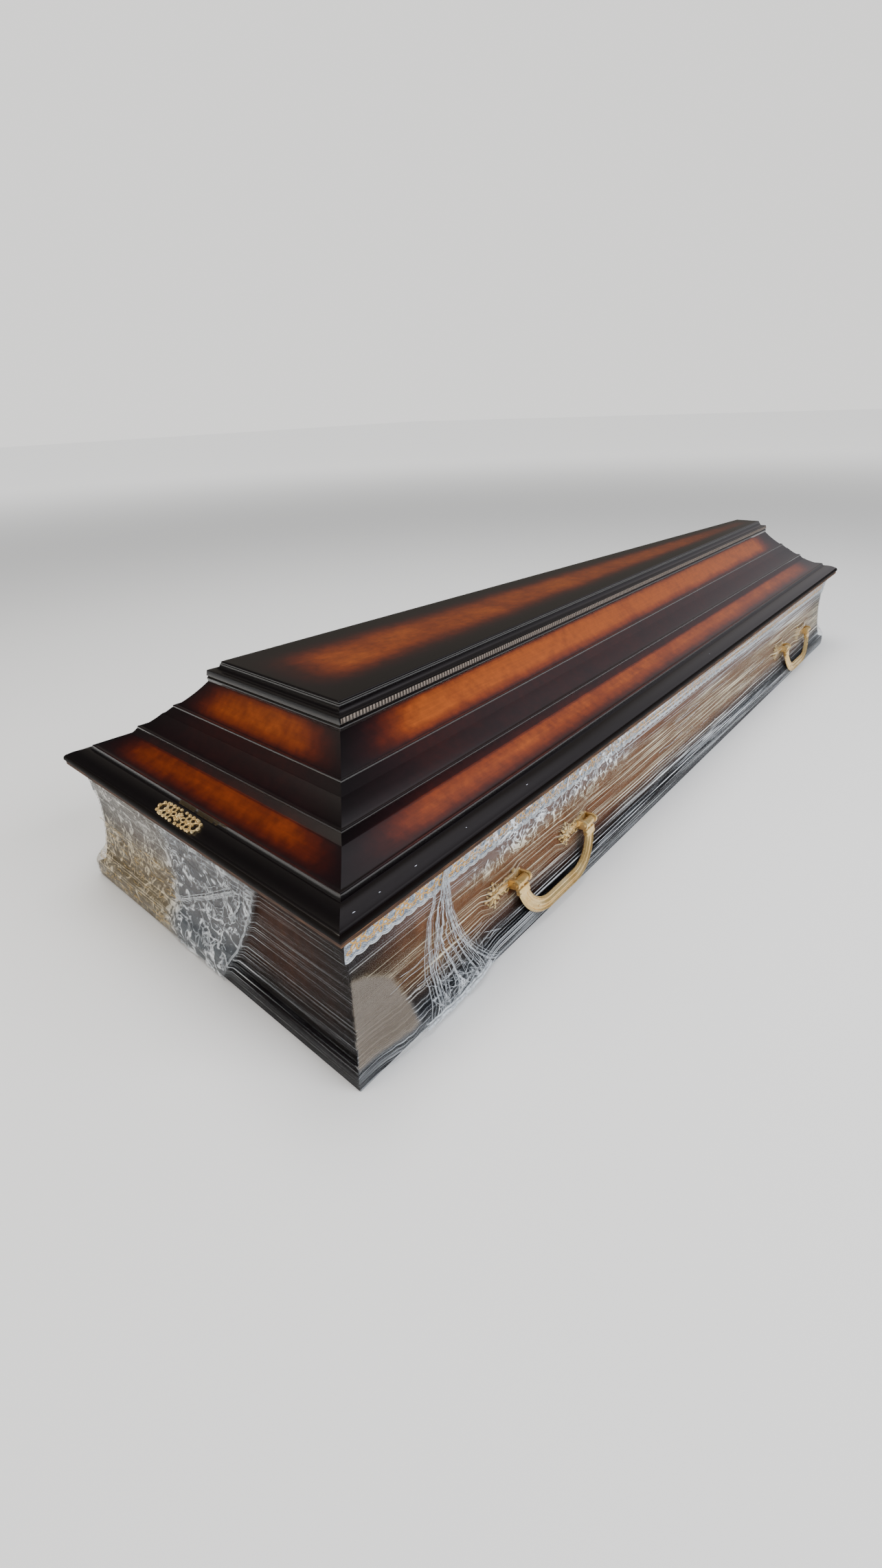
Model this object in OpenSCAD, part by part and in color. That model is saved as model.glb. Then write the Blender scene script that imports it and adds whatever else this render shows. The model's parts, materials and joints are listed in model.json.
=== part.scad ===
// Wooden coffin with a stepped, hipped lid, a hollow-sided box, a plinth and
// four swing handles.  Millimetres.  Head end at -X, foot end at +X, Z up.
// The origin is the middle of the underside.

/* [Outline] */
// Length over the lid and over the plinth
length = 2050; // [1900:10:2150]
// Width over the lid at the head end
width_head = 690; // [670:5:740]
// Width over the lid at the foot end
width_foot = 430; // [425:5:500]

/* [Box] */
// Height of the box, from the floor to the seat of the lid
box_h = 217; // [210:1:240]
// Set-in of the box rim from the lid's edge
rim_in = 19; // [16:1:22]
// Set-in of the side boards just above the plinth
foot_in = 11; // [9:1:12]
// Depth of the hollow between rim and plinth
hollow_d = 10.4; // [6:0.2:12]
// Set-in of the inside faces of the boards
wall_in = 42; // [40:1:46]
// Thickness of the floor board
floor_t = 18; // [12:1:22]
// Height of the plinth rails
plinth_h = 28; // [24:1:32]
// Set-in of the plinth's outer face
plinth_in = 1; // [0:0.5:3]

/* [Lid] */
// Height of the lid at the underside of the top board
lid_wall_h = 139; // [139:1:145]
// Thickness of the top board
top_t = 22.6; // [22.6:0.2:25]
// Sag of the hollow lid panels
panel_hollow = 1.5; // [0.5:0.25:2]

/* [Lace] */
// Drop of the lace band below the lid's seat
lace_drop = 50; // [30:1:60]
// Thickness of the lace band
lace_t = 1.2; // [0.8:0.1:2]

/* [Handles] */
// Distance of the head pair's middle from the head end
handle_head = 450; // [420:5:520]
// Distance of the foot pair's middle from the foot end
handle_foot = 302; // [290:5:360]
// Height of the hinge line above the floor
hinge_z = 92; // [90:1:96]
// Distance between the two lugs of one handle
bail_span = 200; // [180:2:220]
// Width of the bail's flat strip
bail_w = 24; // [20:1:24]
// Thickness of the bail
bail_t = 7; // [5:0.5:8]
// Distance from the hinge line to the middle of the bail's grip
bail_drop = 68; // [66:1:72]
// Radius of the hinge pins
pin_r = 3; // [2.5:0.1:3.5]
// Radial running clearance of the bail on its pins
pin_gap = 0.06; // [0.02:0.01:0.1]

/* [Ornament] */
// Length of the pierced plate on the head end of the lid
orn_l = 100; // [96:2:110]
// Height of the pierced plate
orn_h = 24; // [20:1:26]

/* [Hidden] */
$fn = 48;
theta = atan((width_head - width_foot) / 2 / length);
mitre_out = 30;
mitre_in = 206;
board_in = 205;
far = 3 * box_h;
board_joint = (plinth_h + box_h) / 2;
lace_gap = 0.3;
black = [0.05, 0.035, 0.04];
sunburst = [0.42, 0.17, 0.06];
brass = [0.80, 0.64, 0.36];
bare_wood = [0.66, 0.50, 0.34];

// One hinge fitting, in its own frame: X along the side, -Y outward, Z up.
surface_w = (hinge_z - plinth_h) / (box_h - plinth_h);
surface_in = hollow(hinge_z);
surface_tilt = atan((rim_in - foot_in + 4 * hollow_d * (1 - 2 * surface_w))
                    / (box_h - plinth_h));
plate_back = 0.7;
plate_t = 3;
hinge_out = 14.7;
lug_gap = 0.5;
cheek_t = 5;
cheek_r = 8;
knuckle_r = 7;
bail_arm = 14;
bail_bend = 63;
bail_lean = 5.5;
rosette_x = -52;

// ---- outline of the whole coffin, a long tapered plan with mitred corners ----

// Half the lid's width at a place along the length
function half_w(x) = (width_head + width_foot) / 4 - (width_head - width_foot) / 2 * x / length;
// Half the width there, set in square to the long side by u
function in_y(x, u) = half_w(x) - u / cos(theta);
function head_corner(u) = [-length / 2 + u, -in_y(-length / 2 + u, u)];
function foot_corner(u) = [length / 2 - u, -in_y(length / 2 - u, u)];
function over(p) = [p[0], -p[1]];

// Points of a circular arc about c
function arc(c, r, a0, a1, n = 8) =
    [for (i = [0:n]) [c[0] + r * cos(a0 + (a1 - a0) * i / n), c[1] + r * sin(a0 + (a1 - a0) * i / n)]];
// Points from p to q along a shallow bow; s is its height to the left of the way, negative for a hollow
function bow(p, q, s, n = 8) =
    let (d = q - p, m = [-d[1], d[0]] / norm(d))
    [for (i = [0:n]) p + d * i / n + m * 4 * s * i / n * (1 - i / n)];

// The box's outer face: set-in at height z, a parabolic hollow over a straight flare
function hollow(z) =
    let (w = (z - plinth_h) / (box_h - plinth_h))
    foot_in + (rim_in - foot_in) * w + 4 * hollow_d * w * (1 - w);
function hollow_points(z0, z1, out = 0, n = 20) =
    [for (i = [0:n]) let (z = z0 + (z1 - z0) * i / n) [hollow(z) - out, z]];

// A flat layer of the plan, set in by u
module layer(u, z0, z1) {
    translate([0, 0, z0]) linear_extrude(z1 - z0)
        polygon([head_corner(u), foot_corner(u), over(foot_corner(u)), over(head_corner(u))]);
}

// Endless bars of a moulding along the right-hand side, the head end and the foot end.
// profile is [set-in, height] points.
module side_bar(profile) {
    translate([-length / 2, -half_w(-length / 2), 0]) rotate([0, 0, theta])
        rotate([90, 0, 90]) translate([0, 0, -100]) linear_extrude(length + 200) polygon(profile);
}
module head_bar(profile) {
    translate([-length / 2, 0, 0]) rotate([90, 0, 0])
        translate([0, 0, -width_head]) linear_extrude(2 * width_head) polygon(profile);
}
module foot_bar(profile) mirror([1, 0, 0]) head_bar(profile);

// The same bars mitred at both ends
module side_run(profile) {
    intersection() {
        side_bar(profile);
        translate([0, 0, -1]) linear_extrude(far)
            polygon([head_corner(-mitre_out), foot_corner(-mitre_out),
                     foot_corner(mitre_in), head_corner(mitre_in)]);
    }
}
module head_run(profile) {
    intersection() {
        head_bar(profile);
        translate([0, 0, -1]) linear_extrude(far)
            polygon([head_corner(-mitre_out), head_corner(mitre_in),
                     over(head_corner(mitre_in)), over(head_corner(-mitre_out))]);
    }
}
module foot_run(profile) {
    intersection() {
        foot_bar(profile);
        translate([0, 0, -1]) linear_extrude(far)
            polygon([foot_corner(-mitre_out), foot_corner(mitre_in),
                     over(foot_corner(mitre_in)), over(foot_corner(-mitre_out))]);
    }
}

// ---- box ----

// Each wall is two boards edge to edge: the lower one has a land for the plinth and the
// lower half of the hollow face, the upper one runs up to the rim
lower_board = concat([[foot_in + 1, 0], [foot_in + 1, plinth_h]],
                     hollow_points(plinth_h, board_joint, 0, 10), [[wall_in, board_joint], [wall_in, 0]]);
upper_board = concat(hollow_points(board_joint, box_h, 0, 10), [[wall_in, box_h], [wall_in, board_joint]]);

// A square rail with a rounded top edge
plinth_profile = concat([[foot_in + 1, 0], [plinth_in, 0]],
                        arc([plinth_in + 5, plinth_h - 5], 5, 180, 90, 6), [[foot_in + 1, plinth_h]]);

module floor_board() color(bare_wood) layer(wall_in, 0, floor_t);
module box_side(profile) color(sunburst) side_run(profile);
module box_head(profile) color(sunburst) head_run(profile);
module box_foot(profile) color(sunburst) foot_run(profile);
module plinth_right() color(black) side_run(plinth_profile);
module plinth_left() mirror([0, 1, 0]) plinth_right();
module plinth_head() color(black) head_run(plinth_profile);
module plinth_foot() color(black) foot_run(plinth_profile);

// ---- lid ----

// Outer face of a lid board from its lower edge upward, as set-in and height above the seat:
// raw edge, rounded nose and bowed band, ridge bead, then three panels with a
// crease, a steep strip and a bead between each two
lid_outer = concat(
    [[2, 0], [2, 6], [0.3, 7.5]],
    arc([9, 9], 9, 175, 108, 6),
    bow([6.6, 17.8], [31, 25.3], 1.6, 6),
    [[33, 24.8], [36, 29.4]],
    arc([38, 30.2], 2, 160, 20, 5),
    bow([41, 30.6], [81.2, 49.6], -panel_hollow, 6),
    [[82, 48.9], [83.5, 50.2], [90.6, 58.4]],
    arc([92.6, 59.9], 2, 170, 30, 5),
    bow([95.6, 60.9], [121.4, 81.4], -panel_hollow * 0.7, 6),
    [[122.3, 80.8], [123.8, 82], [134.2, 91.4]],
    arc([136.3, 92.8], 2, 170, 40, 5),
    bow([139.4, 94], [177.5, 131], -panel_hollow, 6),
    arc([180.5, 135.2], 3.8, 190, 90, 5),
    [[184, lid_wall_h]]);
// Inside face, about 16 mm behind the outer one
lid_inner = [[board_in, lid_wall_h], [board_in, 134.5], [192, 121.7], [149, 80], [134, 69], [92, 37],
             [44, 15], [44, 0]];
lid_profile = [for (p = concat(lid_outer, lid_inner)) [p[0], p[1] + box_h]];

// The top board's edge: lip, cove, small fillet and rounded arris, run on across the board
top_profile = [for (p = concat(
    [[length, lid_wall_h], [177.6, lid_wall_h], [176.8, lid_wall_h + 1],
     [178, lid_wall_h + 8.4], [179.6, lid_wall_h + 9.6], [183, lid_wall_h + 10.2]],
    arc([184.6, lid_wall_h + 18.6], 8.4, 270, 360, 8),
    [[194.4, lid_wall_h + 18.6]],
    arc([197, lid_wall_h + top_t - 2.6], 2.6, 180, 90, 4),
    [[length, lid_wall_h + top_t]])) [p[0], p[1] + box_h]];

module lid_side_right() color(sunburst) side_run(lid_profile);
module lid_side_left() mirror([0, 1, 0]) lid_side_right();
module lid_end_head() color(sunburst) head_run(lid_profile);
module lid_end_foot() color(sunburst) foot_run(lid_profile);
module lid_top_board() color(black) intersection() {
    side_bar(top_profile);
    mirror([0, 1, 0]) side_bar(top_profile);
    head_bar(top_profile);
    foot_bar(top_profile);
}

// ---- lace band, stapled along each long side under the lid's edge ----

lace_profile = concat(hollow_points(box_h - lace_drop, box_h - 0.5, lace_gap, 8),
                      [for (i = [8:-1:0]) let (z = box_h - lace_drop + (lace_drop - 0.5) * i / 8)
                          [hollow(z) - lace_gap - lace_t, z]]);

module lace_right() color("gainsboro") side_run(lace_profile);
module lace_left() mirror([0, 1, 0]) lace_right();

// ---- pierced plate, nailed on the sloping band in the middle of the lid's head end ----

band_slope = atan2(25.3 - 17.8, 31 - 6.6);
band_mid = [15.5, 20.54 + 1.6 / cos(band_slope)];

module lid_ornament() color(brass)
    translate([-length / 2 + band_mid[0], 0, box_h + band_mid[1]]) rotate([0, -band_slope, 0])
        difference() {
            union() {
                translate([-3.2, -orn_l / 2 + 9, 0]) cube([6.4, orn_l - 18, 2]);
                cylinder(r = orn_h / 2 - 2, h = 2);
                for (s = [-1, 1], t = [-1, 1]) {
                    translate([t * 5.5, s * (orn_l / 2 - 8), 0]) cylinder(r = 5.5, h = 2);
                    translate([t * 5.5, s * (orn_l / 2 - 20), 0]) cylinder(r = 5, h = 2);
                    translate([t * 5, s * (orn_l / 2 - 31), 0]) cylinder(r = 4.5, h = 2);
                }
                for (s = [-1, 1]) translate([0, s * (orn_l / 2 - 5), 0]) cylinder(r = 5, h = 2);
            }
            for (s = [-1, 1], t = [-1, 1]) {
                translate([t * 5.5, s * (orn_l / 2 - 8), -1]) cylinder(r = 2.4, h = 4);
                translate([t * 5.5, s * (orn_l / 2 - 20), -1]) cylinder(r = 2, h = 4);
                translate([t * 4.6, s * 4.6, -1]) cylinder(r = 1.9, h = 4);
            }
        }

// ---- handles ----

// Moves a fitting from its own frame to the right-hand side, xc from the middle of the length
module on_side(xc) {
    translate([xc, -in_y(xc, surface_in), hinge_z])
        rotate([0, 0, theta]) rotate([-surface_tilt, 0, 0]) children();
}

// A plate cast in one with its two cheeks; the rosette lies on the head side of the lug
module plate(xc, lug) color(brass) on_side(xc) translate([lug * bail_span / 2, 0, 0]) difference() {
    union() {
        rotate([90, 0, 0]) translate([0, 0, plate_back]) {
            translate([rosette_x, 0, 0]) cylinder(r = 11.5, h = plate_t);
            for (a = [0:45:315])
                translate([rosette_x + 12.5 * cos(a), 12.5 * sin(a), 0]) cylinder(r = 4.5, h = plate_t);
            for (s = [-1, 1]) {
                translate([rosette_x, s * 17, 0]) cylinder(r = 3, h = plate_t);
                translate([rosette_x + 16, s * 7.5, 0]) cylinder(r = 4, h = plate_t);
                translate([0, s * 12, 0]) cylinder(r = 5, h = plate_t);
            }
            translate([rosette_x - 18, 0, 0]) cylinder(r = 3.5, h = plate_t);
            translate([rosette_x + 8, -5.5, 0]) cube([-rosette_x - 8, 11, plate_t]);
            translate([-18, -11, 0]) cube([36, 22, plate_t]);
        }
        for (s = [-1, 1]) cheek(s);
    }
    rotate([90, 0, 0]) for (a = [22.5:45:360])
        translate([rosette_x + 8.4 * cos(a), 8.4 * sin(a), 0]) cylinder(r = 1.7, h = 8);
    translate([-40, -hinge_out, 0]) rotate([0, 90, 0]) cylinder(r = pin_r, h = 80);
}

module cheek(s) {
    x0 = s > 0 ? bail_w / 2 + lug_gap : -bail_w / 2 - lug_gap - cheek_t;
    translate([x0, -hinge_out, 0]) rotate([0, 90, 0]) cylinder(r = cheek_r, h = cheek_t);
    translate([x0, -hinge_out, -cheek_r])
        cube([cheek_t, hinge_out - plate_back - plate_t / 2, 2 * cheek_r]);
}

module pin(xc, lug) color(brass) on_side(xc) translate([lug * bail_span / 2, -hinge_out, 0]) {
    half = bail_w / 2 + lug_gap + cheek_t;
    translate([-half, 0, 0]) rotate([0, 90, 0]) cylinder(r = pin_r, h = 2 * half);
    for (s = [0, 1]) mirror([s, 0, 0]) translate([half, 0, 0]) rotate([0, 90, 0]) cylinder(r = 4.6, h = 1.6);
}

// A broad flat strip bent to a wide U, with a knuckle bored for the pin at each end
module bail(xc) color(brass) on_side(xc) translate([0, -hinge_out, 0]) rotate([-bail_lean, 0, 0])
    difference() {
        union() {
            difference() {
                strip(bail_span / 2 + bail_w / 2, bail_drop + bail_w / 2, bail_bend + bail_w / 2, bail_t);
                strip(bail_span / 2 - bail_w / 2, bail_drop - bail_w / 2, bail_bend - bail_w / 2, 4 * bail_t);
                translate([-bail_span, -4 * bail_t, 0]) cube([2 * bail_span, 8 * bail_t, bail_span]);
            }
            for (s = [-1, 1]) translate([s * bail_span / 2 - bail_w / 2, 0, 0])
                rotate([0, 90, 0]) cylinder(r = knuckle_r, h = bail_w);
        }
        translate([-bail_span, 0, 0]) rotate([0, 90, 0]) cylinder(r = pin_r + pin_gap, h = 2 * bail_span);
    }

// Solid U-shaped slab: half width hw, depth d, corner radius r, thickness t
module strip(hw, d, r, t) {
    translate([-hw, -t / 2, -d + r]) cube([2 * hw, t, d - r]);
    translate([-hw + r, -t / 2, -d]) cube([2 * (hw - r), t, r]);
    for (s = [-1, 1]) translate([s * (hw - r), t / 2, -d + r]) rotate([90, 0, 0])
        cylinder(r = r, h = t, $fn = 96);
}

head_x = -length / 2 + handle_head;
foot_x = length / 2 - handle_foot;

module left() mirror([0, 1, 0]) children();

floor_board();
box_side(lower_board);  // box_side_right_low
left() box_side(lower_board);  // box_side_left_low
box_head(lower_board);  // box_end_head_low
box_foot(lower_board);  // box_end_foot_low
box_side(upper_board);  // box_side_right_up
left() box_side(upper_board);  // box_side_left_up
box_head(upper_board);  // box_end_head_up
box_foot(upper_board);  // box_end_foot_up
plinth_right();
plinth_left();
plinth_head();
plinth_foot();
lid_side_right();
lid_side_left();
lid_end_head();
lid_end_foot();
lid_top_board();
lace_right();
lace_left();
lid_ornament();
plate(head_x, -1);  // plate_head_right_a
plate(head_x, 1);  // plate_head_right_b
plate(foot_x, -1);  // plate_foot_right_a
plate(foot_x, 1);  // plate_foot_right_b
left() plate(head_x, -1);  // plate_head_left_a
left() plate(head_x, 1);  // plate_head_left_b
left() plate(foot_x, -1);  // plate_foot_left_a
left() plate(foot_x, 1);  // plate_foot_left_b
pin(head_x, -1);  // pin_head_right_a
pin(head_x, 1);  // pin_head_right_b
pin(foot_x, -1);  // pin_foot_right_a
pin(foot_x, 1);  // pin_foot_right_b
left() pin(head_x, -1);  // pin_head_left_a
left() pin(head_x, 1);  // pin_head_left_b
left() pin(foot_x, -1);  // pin_foot_left_a
left() pin(foot_x, 1);  // pin_foot_left_b
bail(head_x);  // bail_head_right
bail(foot_x);  // bail_foot_right
left() bail(head_x);  // bail_head_left
left() bail(foot_x);  // bail_foot_left
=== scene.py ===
# Long tapered coffin of stained and lacquered boards, wrapped in stretch film below the lid.
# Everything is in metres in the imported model's frame: head end at -X, foot end at +X, Z up.
import json
import math

import bmesh
import bpy
import numpy as np
from mathutils import Matrix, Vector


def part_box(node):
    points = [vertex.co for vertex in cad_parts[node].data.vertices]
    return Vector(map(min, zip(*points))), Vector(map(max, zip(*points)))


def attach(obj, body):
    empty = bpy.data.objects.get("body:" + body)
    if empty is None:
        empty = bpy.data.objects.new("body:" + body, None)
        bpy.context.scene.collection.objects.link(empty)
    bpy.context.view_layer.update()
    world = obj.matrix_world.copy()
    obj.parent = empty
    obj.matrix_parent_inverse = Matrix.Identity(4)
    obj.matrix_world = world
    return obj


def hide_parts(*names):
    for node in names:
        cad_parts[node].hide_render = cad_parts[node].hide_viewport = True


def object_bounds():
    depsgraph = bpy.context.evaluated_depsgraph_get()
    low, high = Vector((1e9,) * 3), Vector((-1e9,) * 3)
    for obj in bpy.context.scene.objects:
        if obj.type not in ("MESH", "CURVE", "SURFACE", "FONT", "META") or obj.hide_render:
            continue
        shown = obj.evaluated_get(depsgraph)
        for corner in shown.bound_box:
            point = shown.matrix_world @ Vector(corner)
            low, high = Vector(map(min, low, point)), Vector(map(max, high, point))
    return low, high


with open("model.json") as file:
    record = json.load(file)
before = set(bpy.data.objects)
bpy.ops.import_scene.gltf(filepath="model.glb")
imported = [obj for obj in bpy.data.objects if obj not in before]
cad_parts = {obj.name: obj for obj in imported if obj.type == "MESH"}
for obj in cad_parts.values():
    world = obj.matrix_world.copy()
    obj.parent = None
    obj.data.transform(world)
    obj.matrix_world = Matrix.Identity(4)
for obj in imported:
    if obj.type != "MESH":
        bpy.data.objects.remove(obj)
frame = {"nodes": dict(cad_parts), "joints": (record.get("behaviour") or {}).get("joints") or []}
cad_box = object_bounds()

# ---- camera, floor and lights -------------------------------------------------------------
# A hand-held wide lens, at chest height off the corner of the head end. The floor is one pale
# seamless sheet. The light is soft: three wide boxes, a ceiling tube and a dim room, in which
# only the lacquer sees the windows and the far wall.

YAW, PITCH, ROLL = (math.radians(a) for a in (43.739, 28.324, -2.545))
ahead = np.array([math.cos(YAW) * math.cos(PITCH), math.sin(YAW) * math.cos(PITCH), -math.sin(PITCH)])
level = np.array([math.sin(YAW), -math.cos(YAW), 0.0])
upward = np.cross(level, ahead)
cam_x = math.cos(ROLL) * level + math.sin(ROLL) * upward
cam_y = math.cos(ROLL) * upward - math.sin(ROLL) * level
lens = bpy.data.cameras.new("camera")
lens.lens = 16.094
lens.sensor_width = 36.0
lens.clip_start = 0.05
lens.clip_end = 200.0
camera = bpy.data.objects.new("camera", lens)
bpy.context.scene.collection.objects.link(camera)
turn = Matrix(np.column_stack([cam_x, cam_y, -ahead]).tolist()).to_4x4()
camera.matrix_world = Matrix.Translation((-1.3489, -0.8076, 0.7048)) @ turn
bpy.context.scene.camera = camera


def linear(hex_colour):
    """An sRGB hex colour as linear RGBA: c / 12.92 if small, else ((c + 0.055) / 1.055) to the power 2.4."""
    c = np.array([int(hex_colour[i : i + 2], 16) for i in (1, 3, 5)]) / 255
    c = np.where(c <= 0.04045, c / 12.92, ((c + 0.055) / 1.055) ** 2.4)
    return (*c.tolist(), 1.0)


def add(material, kind, inputs=None, **settings):
    """Adds a shader node: settings are its own choices, inputs its values or what feeds them.

    A node given as an input feeds it with its first output."""
    made = material.node_tree.nodes.new("ShaderNode" + kind)
    for key, value in settings.items():
        setattr(made, key, value)
    for key, value in (inputs or {}).items():
        value = value.outputs[0] if isinstance(value, bpy.types.Node) else value
        if isinstance(value, bpy.types.NodeSocket):
            material.node_tree.links.new(value, made.inputs[key])
        else:
            made.inputs[key].default_value = value
    return made


def finish_of(name):
    """A material with an empty node tree."""
    made = bpy.data.materials.new(name)
    made.use_nodes = True
    made.node_tree.nodes.clear()
    return made


def blend_colours(node, stops):
    """Sets a Color Ramp node's stops to (place, hex colour)."""
    ramp = node.color_ramp
    while len(ramp.elements) < len(stops):
        ramp.elements.new(0.5)
    for element, (place, colour) in zip(ramp.elements, stops):
        element.position = place
        element.color = linear(colour)


backdrop = finish_of("pale_seamless_paper")
# the sheet stays evenly bright to its far edge, where the boxes no longer reach, for the eye only
spot = add(backdrop, "TexCoord")
reach = add(backdrop, "VectorMath", {0: spot.outputs["Object"]}, operation="LENGTH")
far = add(backdrop, "MapRange", {0: reach.outputs["Value"], 1: 2.5, 2: 10.0, 3: 0.0, 4: 1.05},
          interpolation_type="SMOOTHSTEP")
eye = add(backdrop, "LightPath")
lift = add(backdrop, "Math", {0: far, 1: eye.outputs["Is Camera Ray"]}, operation="MULTIPLY")
paper = add(backdrop, "BsdfPrincipled", {"Base Color": linear("#e9e8e5"), "Roughness": 0.85,
                                         "Emission Color": linear("#f1f0ee"), "Emission Strength": lift})
add(backdrop, "OutputMaterial", {0: paper})
floor_mesh = bpy.data.meshes.new("floor")
floor_mesh.from_pydata([(-30, -30, 0), (30, -30, 0), (30, 30, 0), (-30, 30, 0)], [], [(0, 1, 2, 3)])
floor_mesh.materials.append(backdrop)
floor = bpy.data.objects.new("floor", floor_mesh)
bpy.context.scene.collection.objects.link(floor)

for name, place, aim, size, watts, tint, mirrored in (
    ("side_softbox", (0.2, -3.4, 2.6), (0.0, 0.0, 0.2), (3.4, 1.6), 206.0, "#f4f7ff", False),
    ("head_softbox", (-3.6, 1.2, 2.2), (-0.6, 0.0, 0.2), (2.0, 1.6), 52.0, "#fff4e6", True),
    ("overhead_softbox", (-0.2, 0.3, 4.2), (0.0, 0.0, 0.3), (3.0, 2.4), 155.0, "#ffffff", False),
    ("ceiling_tube", (-0.9, 0.5, 3.4), (-0.4, 0.0, 0.3), (1.6, 0.14), 6.0, "#ffffff", True),
):
    lamp = bpy.data.lights.new(name, "AREA")
    lamp.shape = "RECTANGLE"
    lamp.size, lamp.size_y = size
    lamp.energy = watts
    lamp.color = linear(tint)[:3]
    holder = bpy.data.objects.new(name, lamp)
    bpy.context.scene.collection.objects.link(holder)
    back = np.array(place) - np.array(aim)
    back = back / np.linalg.norm(back)
    across = np.cross([0.0, 0.0, 1.0], back)
    across = across / np.linalg.norm(across)
    facing = Matrix(np.column_stack([across, np.cross(back, across), back]).tolist()).to_4x4()
    holder.matrix_world = Matrix.Translation(place) @ facing
    holder.visible_glossy = mirrored

room = bpy.data.worlds.new("grey_room")
room.use_nodes = True
room.node_tree.nodes.clear()
seen = add(room, "LightPath")
looking = add(room, "TexCoord")
glow = {}
for name, way, low, high, least, most in (
    ("window", (0.94, -0.14, 0.31), 0.84, 0.99, 0.03, 0.50),
    ("skylight", (0.50, 0.09, 0.86), 0.90, 0.995, 0.0, 0.75),
    ("side_pane", (0.68, -0.20, 0.70), 0.94, 0.997, 0.0, 0.20),
    ("far_wall", (0.70, 0.64, 0.31), 0.62, 0.95, 0.0, 0.12),
):
    toward = add(room, "VectorMath", {0: looking.outputs["Generated"], 1: way}, operation="DOT_PRODUCT")
    glow[name] = add(room, "MapRange", {0: toward.outputs["Value"], 1: low, 2: high, 3: least, 4: most},
                     interpolation_type="SMOOTHSTEP")
panes = add(room, "Math", {0: glow["window"], 1: glow["skylight"]}, operation="ADD")
panes = add(room, "Math", {0: panes, 1: glow["side_pane"]}, operation="ADD")
mirror = add(room, "Background", {"Color": linear("#c9c5cb"), "Strength": panes})
plaster = add(room, "Background", {"Color": linear("#e2d8c6"), "Strength": glow["far_wall"]})
mirror = add(room, "AddShader", {0: mirror, 1: plaster})
ambient = add(room, "Background", {"Color": linear("#e8ebef"), "Strength": 0.40})
pale = add(room, "Background", {"Color": linear("#f1f0ee"), "Strength": 1.5})
lit = add(room, "MixShader", {0: seen.outputs["Is Glossy Ray"], 1: ambient, 2: mirror})
both = add(room, "MixShader", {0: seen.outputs["Is Camera Ray"], 1: lit, 2: pale})
add(room, "OutputWorld", {0: both})
bpy.context.scene.world = room

# ---- box walls ----------------------------------------------------------------------------
# Four walls of edge-glued beech boards, 23 to 31 mm thick, mitred at the corners. Outside they
# are planed to a long hollow and stained in a sunburst under one thin coat; inside they are bare.

HALF_LEN = cad_box[1].x + 0.00003
HEAD_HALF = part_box("lid_end_head")[1].y + 0.00004
FOOT_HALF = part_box("lid_end_foot")[1].y + 0.00004
TAPER = (HEAD_HALF - FOOT_HALF) / (2 * HALF_LEN)
COS_TAPER = math.cos(math.atan(TAPER))
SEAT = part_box("lid_end_head")[0].z
PLINTH_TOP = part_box("plinth_head")[1].z
WALL_IN = 0.042
WALL_FOOT, FLARE, DISH = 11.0, 8.0, 41.6
MM = 0.001


def outline(side, set_in, t):
    """Plan point on one side, set in square to it; t runs 0 to 1 from mitre to mitre.

    Long sides: x goes evenly from head mitre to foot mitre, y is half the width there less the set-in.
    Ends: x is the end less the set-in, y goes evenly from the right mitre to the left one."""
    if side in ("right", "left"):
        x = (2 * t - 1) * (HALF_LEN - set_in)
        y = (HEAD_HALF + FOOT_HALF) / 2 - TAPER * x - set_in / COS_TAPER
        return x, -y if side == "right" else y
    x = (HALF_LEN - set_in) * (-1 if side == "head" else 1) + 0 * t
    y = (HEAD_HALF + FOOT_HALF) / 2 - TAPER * x - set_in / COS_TAPER
    return x, (2 * t - 1) * y


def from_mitre(side, set_in, t):
    """Distance along the side to the nearer mitre: the run's length there times t or 1 - t."""
    x0, y0 = outline(side, set_in, 0 * t)
    x1, y1 = outline(side, set_in, 0 * t + 1)
    return np.hypot(x1 - x0, y1 - y0) * np.minimum(t, 1 - t)


def ease(value, low, high):
    """Smooth step from 0 at low to 1 at high: s = 3 w^2 - 2 w^3 with w the clamped share of the way."""
    w = np.clip((value - low) / (high - low), 0, 1)
    return w * w * (3 - 2 * w)


def skin(points, round_rows=False, round_columns=False, slot=0, uv=None, caps=False, keep=None, **marks):
    """One surface over a grid of points: each four neighbours make a quad.

    slot is the material of all quads or of each row of them, keep says which quads stay, caps closes
    the first and last column with a face each, and marks are numbers kept on the points."""
    rows, columns = points.shape[:2]
    number = np.arange(rows * columns).reshape(rows, columns)
    ends = [number[:, 0].tolist(), number[:, -1].tolist()] if caps else []
    if round_rows:
        number = np.vstack([number, number[:1]])
    if round_columns:
        number = np.hstack([number, number[:, :1]])
    quads = np.stack([number[:-1, :-1], number[:-1, 1:], number[1:, 1:], number[1:, :-1]], axis=-1)
    slots = np.broadcast_to(np.reshape(slot, (-1, 1)), quads.shape[:2])
    stay = np.ones(quads.shape[:2], bool) if keep is None else keep
    flat = {k: np.broadcast_to(v, (rows, columns)).ravel() for k, v in marks.items()}
    place = np.zeros((rows * columns, 2)) if uv is None else np.stack(
        [np.broadcast_to(c, (rows, columns)).ravel() for c in uv], axis=-1)
    return {"points": points.reshape(-1, 3), "faces": quads[stay], "slots": slots[stay], "ends": ends,
            "uv": place, "marks": flat}


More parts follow.
